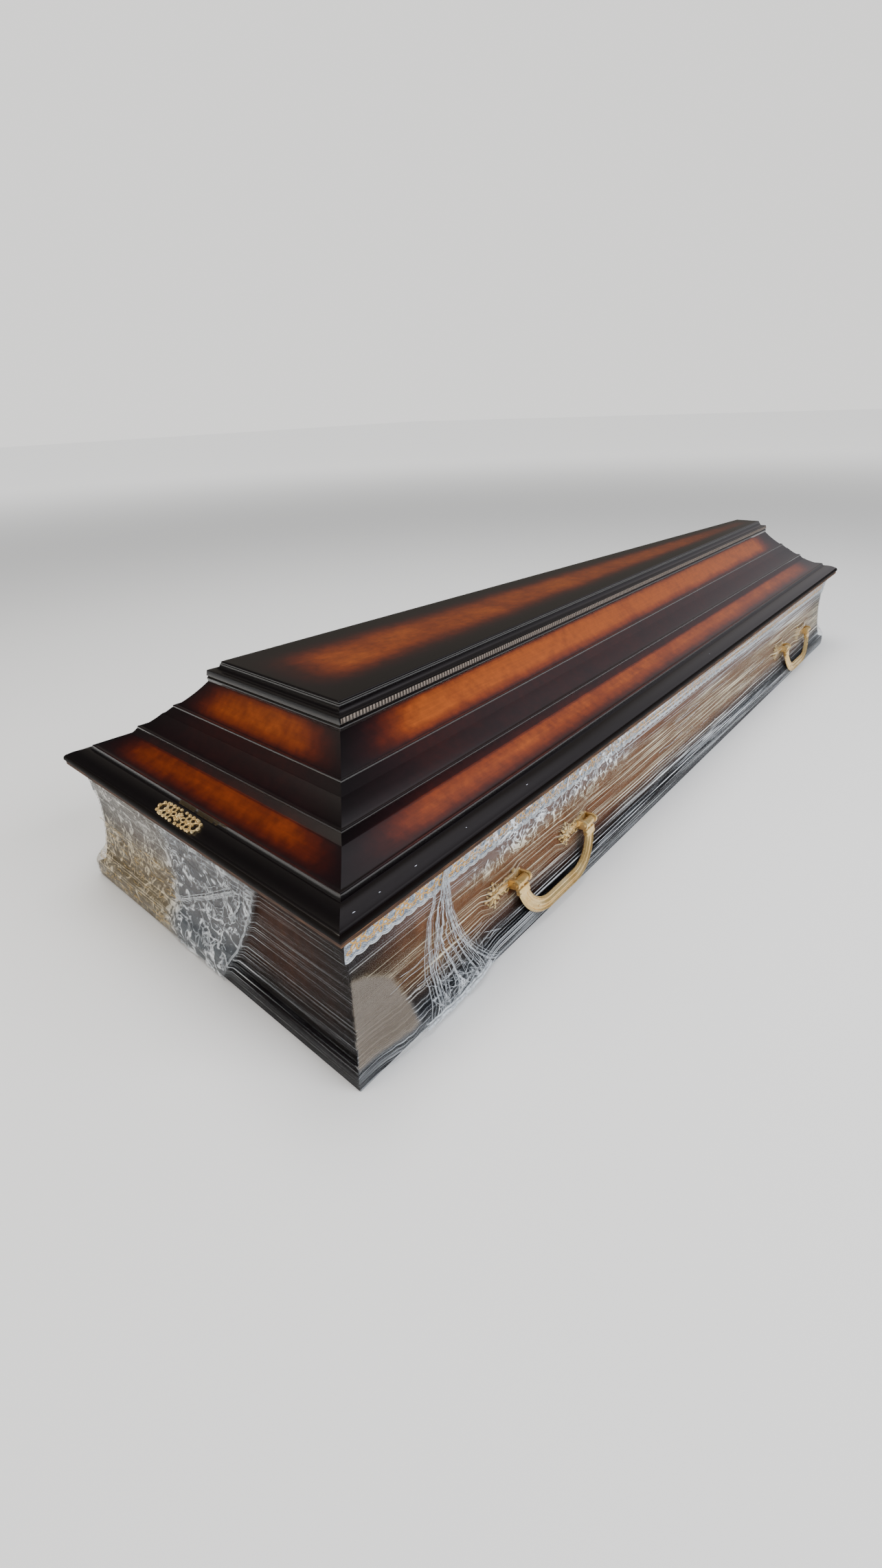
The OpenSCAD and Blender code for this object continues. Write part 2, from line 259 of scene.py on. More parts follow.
def piece(name, skins, materials, body="coffin", sharp=38.0, solid=True):
    """Joins the skins into one mesh, welds what meets, turns a solid's faces out and rides it on its body."""
    first = np.cumsum([0] + [len(s["points"]) for s in skins])
    faces = [f for s, n in zip(skins, first) for f in (s["faces"] + n).tolist()]
    slots = [s["slots"] for s in skins]
    for s, n in zip(skins, first):
        faces += [[n + i for i in end] for end in s["ends"]]
        slots.append(np.full(len(s["ends"]), len(materials) - 1))
    mesh = bpy.data.meshes.new(name)
    mesh.from_pydata(np.concatenate([s["points"] for s in skins]).tolist(), [], faces)
    mesh.polygons.foreach_set("material_index", np.concatenate(slots).astype(np.int32))
    for key in sorted({k for s in skins for k in s["marks"]}):
        held = [s["marks"].get(key, np.zeros(len(s["points"]))) for s in skins]
        mesh.attributes.new(key, "FLOAT", "POINT").data.foreach_set("value", np.concatenate(held))
    corner = np.zeros(len(mesh.loops), np.int32)
    mesh.loops.foreach_get("vertex_index", corner)
    place = np.concatenate([s["uv"] for s in skins])[corner]
    mesh.uv_layers.new(name="along").uv.foreach_set("vector", place.astype(np.float32).ravel())
    shell = bmesh.new()
    shell.from_mesh(mesh)
    bmesh.ops.remove_doubles(shell, verts=shell.verts, dist=1e-6)
    if solid:
        bmesh.ops.recalc_face_normals(shell, faces=shell.faces)
    shell.to_mesh(mesh)
    shell.free()
    mesh.polygons.foreach_set("use_smooth", np.ones(len(mesh.polygons), bool))
    mesh.set_sharp_from_angle(angle=math.radians(sharp))
    for material in materials:
        mesh.materials.append(material)
    made = bpy.data.objects.new(name, mesh)
    bpy.context.scene.collection.objects.link(made)
    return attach(made, body)


def run(side, profile, t, slot, burst, **more):
    """Skin of a mitred moulding: each profile point (set-in, height) is carried along its side.

    burst is the stain's strength at each profile point; it fades to nothing towards the mitres."""
    u, h = profile[:, :1], profile[:, 1:]
    x, y = outline(side, u, t[None, :])
    points = np.stack([x, y, h + 0 * x], axis=-1)
    d = from_mitre(side, u, t[None, :])
    near, far = more["fade"]
    fog = burst[:, None] * ease(d, near, far)
    girth = np.cumsum(np.r_[0, np.hypot(*np.diff(profile, axis=0).T)])
    along = x if side in ("right", "left") else y
    return skin(points, round_rows=True, slot=slot, caps=True, uv=(along, girth[:, None]), burst=fog)


def hollow(z):
    """Set-in of the walls' outer face: a straight flare from plinth to rim and a parabolic hollow over it."""
    w = (z - PLINTH_TOP) / (SEAT - PLINTH_TOP)
    return (WALL_FOOT + FLARE * w + DISH * w * (1 - w)) * MM


def variant(material, name, values):
    """A copy of a finish under another name, with other values on its surface node."""
    made = material.copy()
    made.name = name
    surface = next(n for n in made.node_tree.nodes if n.type == "BSDF_PRINCIPLED")
    for key, value in values.items():
        surface.inputs[key].default_value = value
    return made


def orange_peel(material, place):
    """Ripple of a poured coat, 5 mm across and a few hundredths deep."""
    peel = add(material, "TexNoise", {"Vector": place.outputs["Object"], "Scale": 190.0, "Detail": 1.0})
    return add(material, "Bump", {"Height": peel, "Strength": 0.10, "Distance": 0.0004})


# Sunburst: dye sprayed orange in each field and black round it, under poured gloss. The eye gets
# a soft fog between the two, a faint mottle and grain in the orange, and a nearly mirror gloss.
sunburst = finish_of("sunburst_stained_beech_gloss_lacquer")
place = add(sunburst, "TexCoord")
strength = add(sunburst, "Attribute", attribute_name="burst")
fog = add(sunburst, "TexNoise", {"Vector": place.outputs["Object"], "Scale": 11.0, "Detail": 3.0})
mottle = add(sunburst, "TexNoise", {"Vector": place.outputs["Object"], "Scale": 70.0, "Detail": 4.0,
                                    "Roughness": 0.62})
# grain 2 mm wide and some 60 mm long
lie = add(sunburst, "Mapping", {"Vector": place.outputs["UV"], "Scale": (16.0, 420.0, 1.0)})
grain = add(sunburst, "TexNoise", {"Vector": lie, "Scale": 1.0, "Detail": 4.0, "Distortion": 0.4})
drift = add(sunburst, "MapRange", {0: fog, 1: 0.25, 2: 0.75, 3: -0.10, 4: 0.10})
speck = add(sunburst, "MapRange", {0: mottle, 1: 0.3, 2: 0.7, 3: -0.04, 4: 0.04})
# the fog only wanders where there is some dye, so the black stays black
loose = add(sunburst, "Math", {0: drift, 1: speck}, operation="ADD")
held = add(sunburst, "Math", {0: strength.outputs["Fac"], 1: 3.0}, operation="MULTIPLY", use_clamp=True)
wander = add(sunburst, "Math", {0: loose, 1: held}, operation="MULTIPLY")
total = add(sunburst, "Math", {0: strength.outputs["Fac"], 1: wander}, operation="ADD", use_clamp=True)
dye = add(sunburst, "ValToRGB", {0: total})
blend_colours(dye, [(0.0, "#060304"), (0.14, "#140507"), (0.34, "#290906"), (0.56, "#471404"),
                    (0.8, "#6a2905"), (1.0, "#88400c")])
shade = add(sunburst, "MapRange", {0: grain, 1: 0.3, 2: 0.7, 3: 0.86, 4: 1.08})
cloud = add(sunburst, "MapRange", {0: mottle, 1: 0.3, 2: 0.7, 3: 0.84, 4: 1.12})
figure = add(sunburst, "Math", {0: shade, 1: cloud}, operation="MULTIPLY")
tone = add(sunburst, "VectorMath", {0: dye, "Scale": figure}, operation="SCALE")
ripple = orange_peel(sunburst, place)
gloss = add(sunburst, "BsdfPrincipled", {
    "Base Color": tone, "Roughness": 0.38, "Specular IOR Level": 0.35, "Coat Weight": 1.0,
    "Coat Roughness": 0.045, "Coat IOR": 1.5, "Normal": ripple})
add(sunburst, "OutputMaterial", {0: gloss})

# The walls had one thin coat only: the same dye under a duller skin
thin_coat = variant(sunburst, "sunburst_stained_beech_thin_lacquer",
                    {"Coat Weight": 0.02, "Roughness": 0.6, "Specular IOR Level": 0.08})
brown_dye = next(n for n in thin_coat.node_tree.nodes if n.type == "VALTORGB")
blend_colours(brown_dye, [(0.0, "#0b0706"), (0.14, "#180d09"), (0.34, "#27150d"), (0.56, "#3b2114"),
                          (0.8, "#50301d"), (1.0, "#643f27")])

# Bare beech inside: sawn and sanded, matt, pale straw with brownish growth rings 6 mm apart
bare = finish_of("sanded_bare_beech")
place = add(bare, "TexCoord")
lie = add(bare, "Mapping", {"Vector": place.outputs["Object"], "Scale": (3.0, 34.0, 34.0)})
wave = add(bare, "TexNoise", {"Vector": lie, "Scale": 1.0, "Detail": 5.0, "Distortion": 0.8})
fine = add(bare, "Mapping", {"Vector": place.outputs["Object"], "Scale": (40.0, 900.0, 900.0)})
pores = add(bare, "TexNoise", {"Vector": fine, "Scale": 1.0, "Detail": 2.0})
mix = add(bare, "Math", {0: pores, 1: 0.28, 2: wave}, operation="MULTIPLY_ADD")
wood = add(bare, "ValToRGB", {0: mix})
blend_colours(wood, [(0.42, "#8f6b45"), (0.6, "#b89268"), (0.78, "#cdad83"), (0.95, "#d9bf99")])
fibre = add(bare, "Bump", {"Height": pores, "Strength": 0.35, "Distance": 0.0003})
matt = add(bare, "BsdfPrincipled", {"Base Color": wood, "Roughness": 0.72, "Normal": fibre})
add(bare, "OutputMaterial", {0: matt})

long_t = np.r_[np.linspace(0, 0.12, 30), np.linspace(0.12, 0.88, 34)[1:-1], np.linspace(0.88, 1, 30)]
end_t = np.r_[np.linspace(0, 0.3, 20), np.linspace(0.3, 0.7, 10)[1:-1], np.linspace(0.7, 1, 20)]
face_z = np.linspace(PLINTH_TOP, SEAT, 40)
wall = np.vstack([[[0.012, 0.0], [0.012, PLINTH_TOP]], np.column_stack([hollow(face_z), face_z]),
                  [[WALL_IN, SEAT], [WALL_IN, 0.0]]])
wall_burst = ease(wall[:, 1], 0.022, 0.080) * (1 - 0.5 * ease(wall[:, 1], 0.165, 0.210))
wall_slot = np.r_[1, 1, np.zeros(39), 1, 1, 1]
# each side's name in the CAD, and where its run is cut across: closer together near the mitres
RUNS = {"right": ("side_right", long_t), "left": ("side_left", long_t),
        "head": ("end_head", end_t), "foot": ("end_foot", end_t)}
for side, (cad_name, t) in RUNS.items():
    fades, depth = ((-0.03, 0.16), 1.0) if t is long_t else ((-0.06, 0.15), 0.5)
    board = piece(f"box_wall_{side}", [run(side, wall, t, wall_slot, depth * wall_burst, fade=fades)],
                  [thin_coat, bare])
    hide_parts(f"box_{cad_name}_low", f"box_{cad_name}_up")

# ---- floor board --------------------------------------------------------------------------
# One flat bare board, 18 mm thick, let in between the walls; its underside is the coffin's foot.

floor_board = frame["nodes"]["floor_board"]
floor_board.data.materials.clear()
floor_board.data.materials.append(bare)

# ---- plinth -------------------------------------------------------------------------------
# Square rails with a rounded top edge, nailed round the foot of the walls. Sprayed black.

# Black: opaque lacquer under one thin coat; dust under it shows as faint grey haze
black = finish_of("black_thin_lacquer")
place = add(black, "TexCoord")
haze = add(black, "TexNoise", {"Vector": place.outputs["Object"], "Scale": 14.0, "Detail": 5.0})
ink = add(black, "ValToRGB", {0: haze})
blend_colours(ink, [(0.3, "#080608"), (0.7, "#120c0e")])
ripple = orange_peel(black, place)
coat = add(black, "BsdfPrincipled", {
    "Base Color": ink, "Roughness": 0.5, "Specular IOR Level": 0.1, "Coat Weight": 0.03,
    "Coat Roughness": 0.05, "Coat IOR": 1.5, "Normal": ripple})
add(black, "OutputMaterial", {0: coat})


def arc(centre, radius, start, stop, n):
    """Points of a circular arc in mm: centre plus radius times cos and sin of angles from start to stop."""
    a = np.radians(np.linspace(start, stop, n))
    return np.column_stack([centre[0] + radius * np.cos(a), centre[1] + radius * np.sin(a)])


rail = np.vstack([[[12, 0], [1, 0]], arc((6, PLINTH_TOP / MM - 5), 5, 180, 90, 9),
                  [[12, PLINTH_TOP / MM]]]) * MM
for side, (_, t) in RUNS.items():
    plinth = piece(f"plinth_rail_{side}", [run(side, rail, t, 0, np.zeros(len(rail)), fade=(0, 1))], [black])
    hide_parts(f"plinth_{side}")

# ---- lid boards ---------------------------------------------------------------------------
# Four boards of built-up beech moulding, mitred at the hips: a bowed black band, then three hollow
# panels, each set back behind a bead and a steep strip. The upper and lower panels are sunburst.

# Raw lower edge of the lid boards: sawn beech that took up brown stain
raw_edge = finish_of("brown_stained_sawn_edge")
place = add(raw_edge, "TexCoord")
lie = add(raw_edge, "Mapping", {"Vector": place.outputs["UV"], "Scale": (30.0, 700.0, 1.0)})
saw = add(raw_edge, "TexNoise", {"Vector": lie, "Scale": 1.0, "Detail": 4.0})
brown = add(raw_edge, "ValToRGB", {0: saw})
blend_colours(brown, [(0.35, "#1d120d"), (0.55, "#4a2f1d"), (0.75, "#7a5636")])
sawn = add(raw_edge, "BsdfPrincipled", {"Base Color": brown, "Roughness": 0.8})
add(raw_edge, "OutputMaterial", {0: sawn})


def bow(start, stop, rise, n):
    """Points in mm on a parabola from start to stop that stands rise to the left of the way."""
    start, stop = np.array(start, float), np.array(stop, float)
    w = np.linspace(0, 1, n)[:, None]
    way = stop - start
    left = np.array([-way[1], way[0]]) / np.hypot(*way)
    return start + w * way + 4 * rise * w * (1 - w) * left


lid_outer = np.vstack([
    [[2, 0], [2, 6], [0.3, 7.5]], arc((9, 9), 9, 175, 108, 10), bow((6.6, 17.8), (31, 25.3), 1.6, 10),
    [[33, 24.8], [36, 29.4]], arc((38, 30.2), 2, 160, 20, 8), bow((41, 30.6), (81.2, 49.6), -1.5, 18),
    [[82, 48.9], [83.5, 50.2], [90.6, 58.4]], arc((92.6, 59.9), 2, 170, 30, 8),
    bow((95.6, 60.9), (121.4, 81.4), -1.05, 12), [[122.3, 80.8], [123.8, 82], [134.2, 91.4]],
    arc((136.3, 92.8), 2, 170, 40, 8), bow((139.4, 94), (177.5, 131), -1.5, 18),
    arc((180.5, 135.2), 3.8, 190, 90, 8), [[184, 139]]])
lid_inner = np.array([[205, 139], [205, 134.5], [192, 121.7], [149, 80], [134, 69], [92, 37], [44, 15],
                      [44, 0.0]])
lid = np.vstack([lid_outer, lid_inner]) * MM + [0, SEAT]
# stain strength up the outer face, against the height above the seat in mm
lid_burst = np.array([
    (0, 0), (29.5, 0.0), (32.0, 0.38), (35, 0.66), (41, 0.88), (48.8, 0.82), (50.2, 0.34), (58, 0.24),
    (60, 0.05), (63, 0.20), (79, 0.20), (82, 0.24), (91, 0.28), (93, 0.08), (94.5, 0.42), (98, 0.72),
    (106, 1.0), (124, 1.0), (130, 0.85), (132, 0.45), (133.5, 0.0), (139, 0)])
lid_burst = np.r_[np.interp(lid_outer[:, 1], *lid_burst.T), np.zeros(len(lid_inner))]
lid_slot = np.zeros(len(lid))
lid_slot[0] = 1
lid_slot[1:9] = 2
lid_slot[len(lid_outer) - 1 :] = 3
lid_slot[-1] = 1
for side, (cad_name, t) in RUNS.items():
    # the end boards' stain is 0.84 as strong as the long sides': painted shade, the ends being less lit
    fades, depth = ((-0.01, 0.17), 1.0) if t is long_t else ((-0.03, 0.10), 0.84)
    board = piece(f"lid_board_{side}", [run(side, lid, t, lid_slot, depth * lid_burst, fade=fades)],
                  [sunburst, raw_edge, thin_coat, bare])
    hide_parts(f"lid_{cad_name}")

# ---- top board ----------------------------------------------------------------------------
# One board, 23 mm thick, laid on the four lid boards with a lip all round. Its edge is routed to a
# cove, a fillet and a rounded arris. Black with an orange field along the middle.

LIP_LOW, LIP_HIGH = np.array([176.8, 140]) * MM, np.array([178, 147.4]) * MM
DECK_IN = 0.200
edge = np.vstack([[[200, 139], [177.6, 139], [176.8, 140], [178, 147.4], [178.5, 148.6], [179.6, 148.9],
                   [183, 149.2]], arc((184.6, 157.6), 8.4, 270, 360, 12), [[194.4, 157.6]],
                  arc((197, 159), 2.6, 180, 90, 7), [[200, 161.6]]]) * MM + [0, SEAT]
around = [("right", long_t), ("foot", np.linspace(0, 1, 25)), ("left", long_t[::-1]),
          ("head", np.linspace(1, 0, 25))]
plan = [outline(side, edge[:, :1], t[None, :-1]) for side, t in around]
ring_x = np.hstack([np.broadcast_to(x, y.shape) for x, y in plan])
ring_y = np.hstack([y for x, y in plan])
ring = np.stack([ring_x, ring_y, edge[:, 1:] + 0 * ring_x], axis=-1)
across = np.linspace(0, 1, 25)[:, None]
deck_x, rim_y = outline("right", DECK_IN, long_t[None, :])
half = -rim_y
deck_y = rim_y * (1 - 2 * across)
deck_x = deck_x + 0 * deck_y
inward = half - np.abs(deck_y)
from_end = np.minimum(deck_x + HALF_LEN - DECK_IN, HALF_LEN - DECK_IN - deck_x)
deck_burst = 0.85 * ease(inward / half, 0.10, 0.80) * ease(from_end, -0.02, 0.10)
deck_burst = deck_burst * np.clip(half / 0.055, 0, 1)
decks = [skin(np.stack([deck_x, deck_y, h + 0 * deck_x], axis=-1), slot=k, uv=(deck_x, deck_y),
              burst=deck_burst) for k, h in ((0, edge[-1, 1]), (1, edge[0, 1]))]
ring_slot = np.r_[1, np.zeros(len(edge) - 2)]
ledge = skin(ring, round_columns=True, slot=ring_slot, uv=(ring_x, ring_y), burst=0 * ring_x)
board = piece("lid_top", [ledge, *decks], [sunburst, bare])
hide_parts("lid_top_board")

# Pressed ribs: grey lacquer, painted paler on the rib tops as highlight and black in the grooves as shade
painted_rib_lacquer = finish_of("grey_lacquer_painted_rib_light")
depth_mark = add(painted_rib_lacquer, "Attribute", attribute_name="proud")
rib_painted_light_and_shade = add(painted_rib_lacquer, "ValToRGB", {0: depth_mark.outputs["Fac"]})
blend_colours(rib_painted_light_and_shade, [(0.1, "#0d0a09"), (0.55, "#4a4139"), (0.95, "#7c7167")])
rib_skin = add(painted_rib_lacquer, "BsdfPrincipled", {"Base Color": rib_painted_light_and_shade, "Roughness": 0.4})
add(painted_rib_lacquer, "OutputMaterial", {0: rib_skin})

# Fluting pressed into the lip of both long sides: upright half-round ribs, 6 mm apart
RIB = 0.006
rib_count = int((2 * HALF_LEN - 0.36) / RIB)
rib_t = np.linspace(0.002, 0.998, rib_count * 6 + 1)[None, :]
rise = np.array([0.06, 0.16, 0.5, 0.84, 0.94])[:, None]
lip_in = LIP_LOW[0] + (LIP_HIGH[0] - LIP_LOW[0]) * rise
lip_z = SEAT + LIP_LOW[1] + (LIP_HIGH[1] - LIP_LOW[1]) * rise
proud = np.abs(np.sin(math.pi * rib_count * rib_t))
bulge = 0.0011 * proud ** 0.7 * np.array([0.2, 1, 1, 1, 0.2])[:, None]
set_in = np.vstack([lip_in[:1] + 0.0005 + 0 * rib_t, lip_in - bulge, lip_in[-1:] + 0.0005 + 0 * rib_t])
height = np.vstack([lip_z[:1], lip_z, lip_z[-1:]]) + 0 * set_in
for side in ("right", "left"):
    x, y = outline(side, set_in, rib_t + 0 * set_in)
    ribs = skin(np.stack([x, y, height], axis=-1), round_rows=True, caps=True, proud=proud)
    flutes = piece(f"lip_fluting_{side}", [ribs], [painted_rib_lacquer], sharp=60)

# ---- ornament on the head end -------------------------------------------------------------
# A pierced cast plate, 100 mm long, nailed across the bowed band: a rosette, scroll loops and
# beads along both edges. Zinc, brass plated and lacquered.

# Plated brass: bright warm yellow with browner patches where the lacquer is thin; satin gloss
brass = finish_of("brass_plated_zinc_casting")
place = add(brass, "TexCoord")
patch = add(brass, "TexNoise", {"Vector": place.outputs["Object"], "Scale": 34.0, "Detail": 3.0})
plating = add(brass, "ValToRGB", {0: patch})
blend_colours(plating, [(0.28, "#d0a763"), (0.46, "#e6c382"), (0.62, "#f0d398"), (0.8, "#f6e0b0")])
tarnish = add(brass, "MapRange", {0: patch, 1: 0.3, 2: 0.7, 3: 0.30, 4: 0.22})
# casting skin, pits about 1 mm across
pits = add(brass, "TexNoise", {"Vector": place.outputs["Object"], "Scale": 900.0, "Detail": 2.0})
dents = add(brass, "Bump", {"Height": pits, "Strength": 0.08, "Distance": 0.0003})
metal = add(brass, "BsdfPrincipled", {"Base Color": plating, "Metallic": 0.72, "Roughness": tarnish,
                                      "Normal": dents})
add(brass, "OutputMaterial", {0: metal})


def boss(centre, radii, rows=7, columns=12):
    """Ellipsoid: centre plus radii times (cos a cos b, cos a sin b, sin a)."""
    a = np.linspace(-math.pi / 2, math.pi / 2, rows)[:, None]
    b = np.linspace(0, 2 * math.pi, columns, endpoint=False)[None, :]
    shape = np.stack([np.cos(a) * np.cos(b), np.cos(a) * np.sin(b), np.sin(a) + 0 * b], axis=-1)
    return np.array(centre) + np.array(radii) * shape


def loop(centre, radii, wire, start=0.0, rows=18, columns=7):
    """Ring of wire round an ellipse: its centre line's cos and sin, widened by those of the wire itself."""
    a = np.linspace(0, 2 * math.pi, rows, endpoint=False)[:, None] + start
    b = np.linspace(0, 2 * math.pi, columns, endpoint=False)[None, :]
    x = np.cos(a) * (radii[0] + wire * np.cos(b))
    y = np.sin(a) * (radii[1] + wire * np.cos(b))
    return np.array(centre) + np.stack([x, y, wire * np.sin(b) + 0 * a], axis=-1)


def seat_on(points, origin, axes):
    """Local points to the frame: the origin plus each number times its own axis."""
    return np.array(origin) + points @ np.array(axes)


slope = math.atan2(7.5, 24.4)
pin_plate = []
for s in (-1, 1):
    pin_plate += [loop((s * 43.5, 0, 1.6), (7.6, 6.8), 1.5), boss((s * 52, 0, 1.8), (3.4, 3.4, 2.6))]
    pin_plate += [loop((s * 13, 0, 1.4), (5.0, 3.2), 1.2)]
    for w in (-1, 1):
        pin_plate += [loop((s * 31, w * 5.6, 1.4), (5.2, 4.0), 1.25)]
        pin_plate += [loop((s * 20.5, w * 5.4, 1.4), (4.8, 3.8), 1.2)]
        pin_plate += [boss((s * a, w * b, 1.8), (2.5, 2.4, 2.5)) for a, b in (
            (48.5, 7.2), (40, 9.2), (35.5, 9.6), (26, 10.0), (16, 9.8), (7, 10.2))]
    pin_plate += [boss((s * 27, 0, 1.6), (6.5, 2.1, 2.4)), boss((s * 36, 0, 1.6), (3.0, 2.4, 2.4))]
pin_plate += [boss((0, 0, 1.8), (4.0, 4.0, 3.2))]
for a in np.arange(8) * math.pi / 4:
    pin_plate += [boss((5.6 * math.cos(a), 5.6 * math.sin(a), 1.5), (2.0, 2.0, 1.9))]
origin = (-HALF_LEN + 15.5 * MM, 0, SEAT + 21.4 * MM)
axes = ((0, 0.945 * MM, 0), (MM * math.cos(slope), 0, MM * math.sin(slope)),
        (-MM * math.sin(slope), 0, MM * math.cos(slope)))
ornament = piece("head_end_ornament", [skin(seat_on(p, origin, axes), round_columns=True,
                                            round_rows=len(p) == 18) for p in pin_plate], [brass], sharp=70)
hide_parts("lid_ornament")

# ---- lace ---------------------------------------------------------------------------------
# A machine-made lace band, 50 mm deep with a scalloped edge, stapled along the rim of both long
# walls: grey-white net with flowers embroidered in golden thread round grey-blue eyes.

# Net of cotton and viscose thread: diamonds about 3 mm across, as coarse as they need to be to show
net = finish_of("grey_white_lace_net")
place = add(net, "TexCoord")
split = add(net, "SeparateXYZ", {0: place.outputs["UV"]})
rising = add(net, "Math", {0: split.outputs["X"], 1: split.outputs["Y"]}, operation="ADD")
falling = add(net, "Math", {0: split.outputs["X"], 1: split.outputs["Y"]}, operation="SUBTRACT")
threads = []
for way in (rising, falling):
    turns = add(net, "Math", {0: way, 1: math.pi / 0.0034}, operation="MULTIPLY")
    swing = add(net, "Math", {0: turns}, operation="SINE")
    threads.append(add(net, "Math", {0: swing}, operation="ABSOLUTE"))
open_net = add(net, "Math", {0: threads[0], 1: threads[1]}, operation="MINIMUM")
thread = add(net, "MapRange", {0: open_net, 1: 0.30, 2: 0.55, 3: 1.0, 4: 0.0})
tuft = add(net, "TexNoise", {"Vector": place.outputs["UV"], "Scale": 140.0, "Detail": 3.0})
closed = add(net, "MapRange", {0: tuft, 1: 0.5, 2: 0.58, 3: 0.0, 4: 1.0})
hem = add(net, "Attribute", attribute_name="hem")
solid = add(net, "Math", {0: closed, 1: hem.outputs["Fac"]}, operation="MAXIMUM")
cover = add(net, "Math", {0: thread, 1: solid}, operation="MAXIMUM")
dyed = add(net, "ValToRGB", {0: tuft})
blend_colours(dyed, [(0.35, "#76859a"), (0.5, "#a3adb8"), (0.7, "#cdd0cf")])
knots = add(net, "Bump", {"Height": cover, "Strength": 0.6, "Distance": 0.0004})
cloth = add(net, "BsdfPrincipled", {"Base Color": dyed, "Roughness": 0.8, "Alpha": cover, "Sheen Weight": 0.3,
                                    "Normal": knots})
add(net, "OutputMaterial", {0: cloth})


def thread_finish(name, low, high):
    """Twisted embroidery thread: two tones along the twist, satin."""
    made = finish_of(name)
    spot = add(made, "TexCoord")
    twist = add(made, "TexNoise", {"Vector": spot.outputs["Object"], "Scale": 700.0, "Detail": 2.0})
    tone = add(made, "ValToRGB", {0: twist})
    blend_colours(tone, [(0.35, low), (0.65, high)])
    rise = add(made, "Bump", {"Height": twist, "Strength": 0.5, "Distance": 0.0004})
    satin = add(made, "BsdfPrincipled", {"Base Color": tone, "Roughness": 0.5, "Sheen Weight": 0.2,
                                         "Normal": rise})
    add(made, "OutputMaterial", {0: satin})
    return made


golden = thread_finish("golden_embroidery_thread", "#b07d1c", "#dfa93a")
slate = thread_finish("grey_blue_embroidery_thread", "#5f7186", "#93a3b2")
white = thread_finish("white_edging_cord", "#b9bdc0", "#e9e8e2")


def on_face(side, along, z, set_in):
    """Point of a wall plane set in square to its side, at that x on a long side or that y on an end."""
    if side in ("right", "left"):
        y = (HEAD_HALF + FOOT_HALF) / 2 - TAPER * along - set_in / COS_TAPER
        return np.stack(np.broadcast_arrays(along, -y if side == "right" else y, z), axis=-1)
    x = (HALF_LEN - set_in) * (-1 if side == "head" else 1)
    return np.stack(np.broadcast_arrays(x, along, z), axis=-1)


LACE_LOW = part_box("lace_right")[0].z
SCALLOP, SCALLOP_DEEP, FLOWER_PITCH = 0.021, 0.004, 0.036
lace_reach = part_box("lace_right")[1].x - 0.004
lace_x = np.linspace(-lace_reach - 0.0005, lace_reach, 932)[None, :]
lace_w = np.linspace(0, 1, 9)[:, None]
scallop = LACE_LOW + SCALLOP_DEEP - SCALLOP_DEEP * np.abs(np.sin(math.pi * lace_x / SCALLOP)) ** 0.8
lace_z = (SEAT - 0.0006) * (1 - lace_w) + scallop * lace_w
# one repeat in mm about a flower's middle: petals, then eye, leaves and what joins the next flower
repeat = []
for k in range(6):
    a = math.radians(60 * k + 30)
    petal = loop((0, 0, 0), (4.8, 3.1), 1.25, rows=12, columns=5)
    turned = np.stack([petal[..., 0] * math.cos(a) - petal[..., 1] * math.sin(a) + 8.8 * math.cos(a),
                       petal[..., 0] * math.sin(a) + petal[..., 1] * math.cos(a) + 8.8 * math.sin(a),
                       petal[..., 2] * 0.6], axis=-1)
    repeat.append((turned, 0))
for x, y, z, radii, wire, colour in (
        (0, 0, 0.1, (3.0, 3.0), 0.9, 1), (-14.5, 9.0, 0, (3.8, 2.4), 1.1, 0),
        (14.5, 9.0, 0, (3.8, 2.4), 1.1, 0), (-14.5, -9.5, 0, (3.8, 2.4), 1.1, 0),
        (14.5, -9.5, 0, (3.8, 2.4), 1.1, 0), (18, 0, 0, (2.6, 5.0), 0.8, 1)):
    repeat.append((loop((x, y, z), radii, wire, rows=12, columns=5) * (1, 1, 0.6), colour))
bed_z = LACE_LOW + 0.0235
flower_x = np.arange(-lace_reach + 0.021, lace_reach - 0.02, FLOWER_PITCH)
for side in ("right", "left"):
    front = on_face(side, lace_x, lace_z, hollow(lace_z) - 0.0011)
    behind = on_face(side, lace_x, lace_z, hollow(lace_z) - 0.0004)[::-1]
    hem_mark = np.broadcast_to(ease(lace_w, 0.86, 0.95) + ease(0.08 - lace_w, 0, 0.05), lace_z.shape)
    both_x = np.broadcast_to(lace_x, lace_z.shape)
    woven = skin(np.vstack([front, behind]), round_rows=True, caps=True,
                 uv=(np.vstack([both_x, both_x]), np.vstack([lace_z, lace_z[::-1]])),
                 hem=np.vstack([hem_mark, hem_mark[::-1]]))
    ground = piece(f"lace_{side}_net", [woven], [net], sharp=60)
    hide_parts(f"lace_{side}")
    stitched = []
    for shape, colour in repeat:
        for x in flower_x:
            z = bed_z + shape[..., 1] * MM
            spot = on_face(side, x + shape[..., 0] * MM, z, hollow(z) - 0.0011 - shape[..., 2] * MM)
            stitched.append(skin(spot, round_rows=True, round_columns=True, slot=colour))
    edge_x = np.linspace(-lace_reach, lace_reach, 1400)[None, :]
    turn_b = np.linspace(0, 2 * math.pi, 5, endpoint=False)[:, None]
    for lift, thick in ((0.0, 0.0007), (0.0032, 0.0005)):
        low = LACE_LOW + lift + 0.0046 - SCALLOP_DEEP * np.abs(np.sin(math.pi * edge_x / SCALLOP)) ** 0.8
        z = low + thick * np.sin(turn_b)
        stitched.append(skin(on_face(side, edge_x + 0 * z, z, hollow(z) - 0.0012 - thick * np.cos(turn_b)),
                             round_rows=True, caps=True, slot=2))
    sewn = piece(f"lace_{side}_embroidery", stitched, [golden, slate, white], sharp=80)

# ---- handle plates and pins ---------------------------------------------------------------
# Two cast plates to a handle, screwed to the hollow face: a rosette on the head side, a short
# arm, and a pair of cheeks that hold the hinge pin.

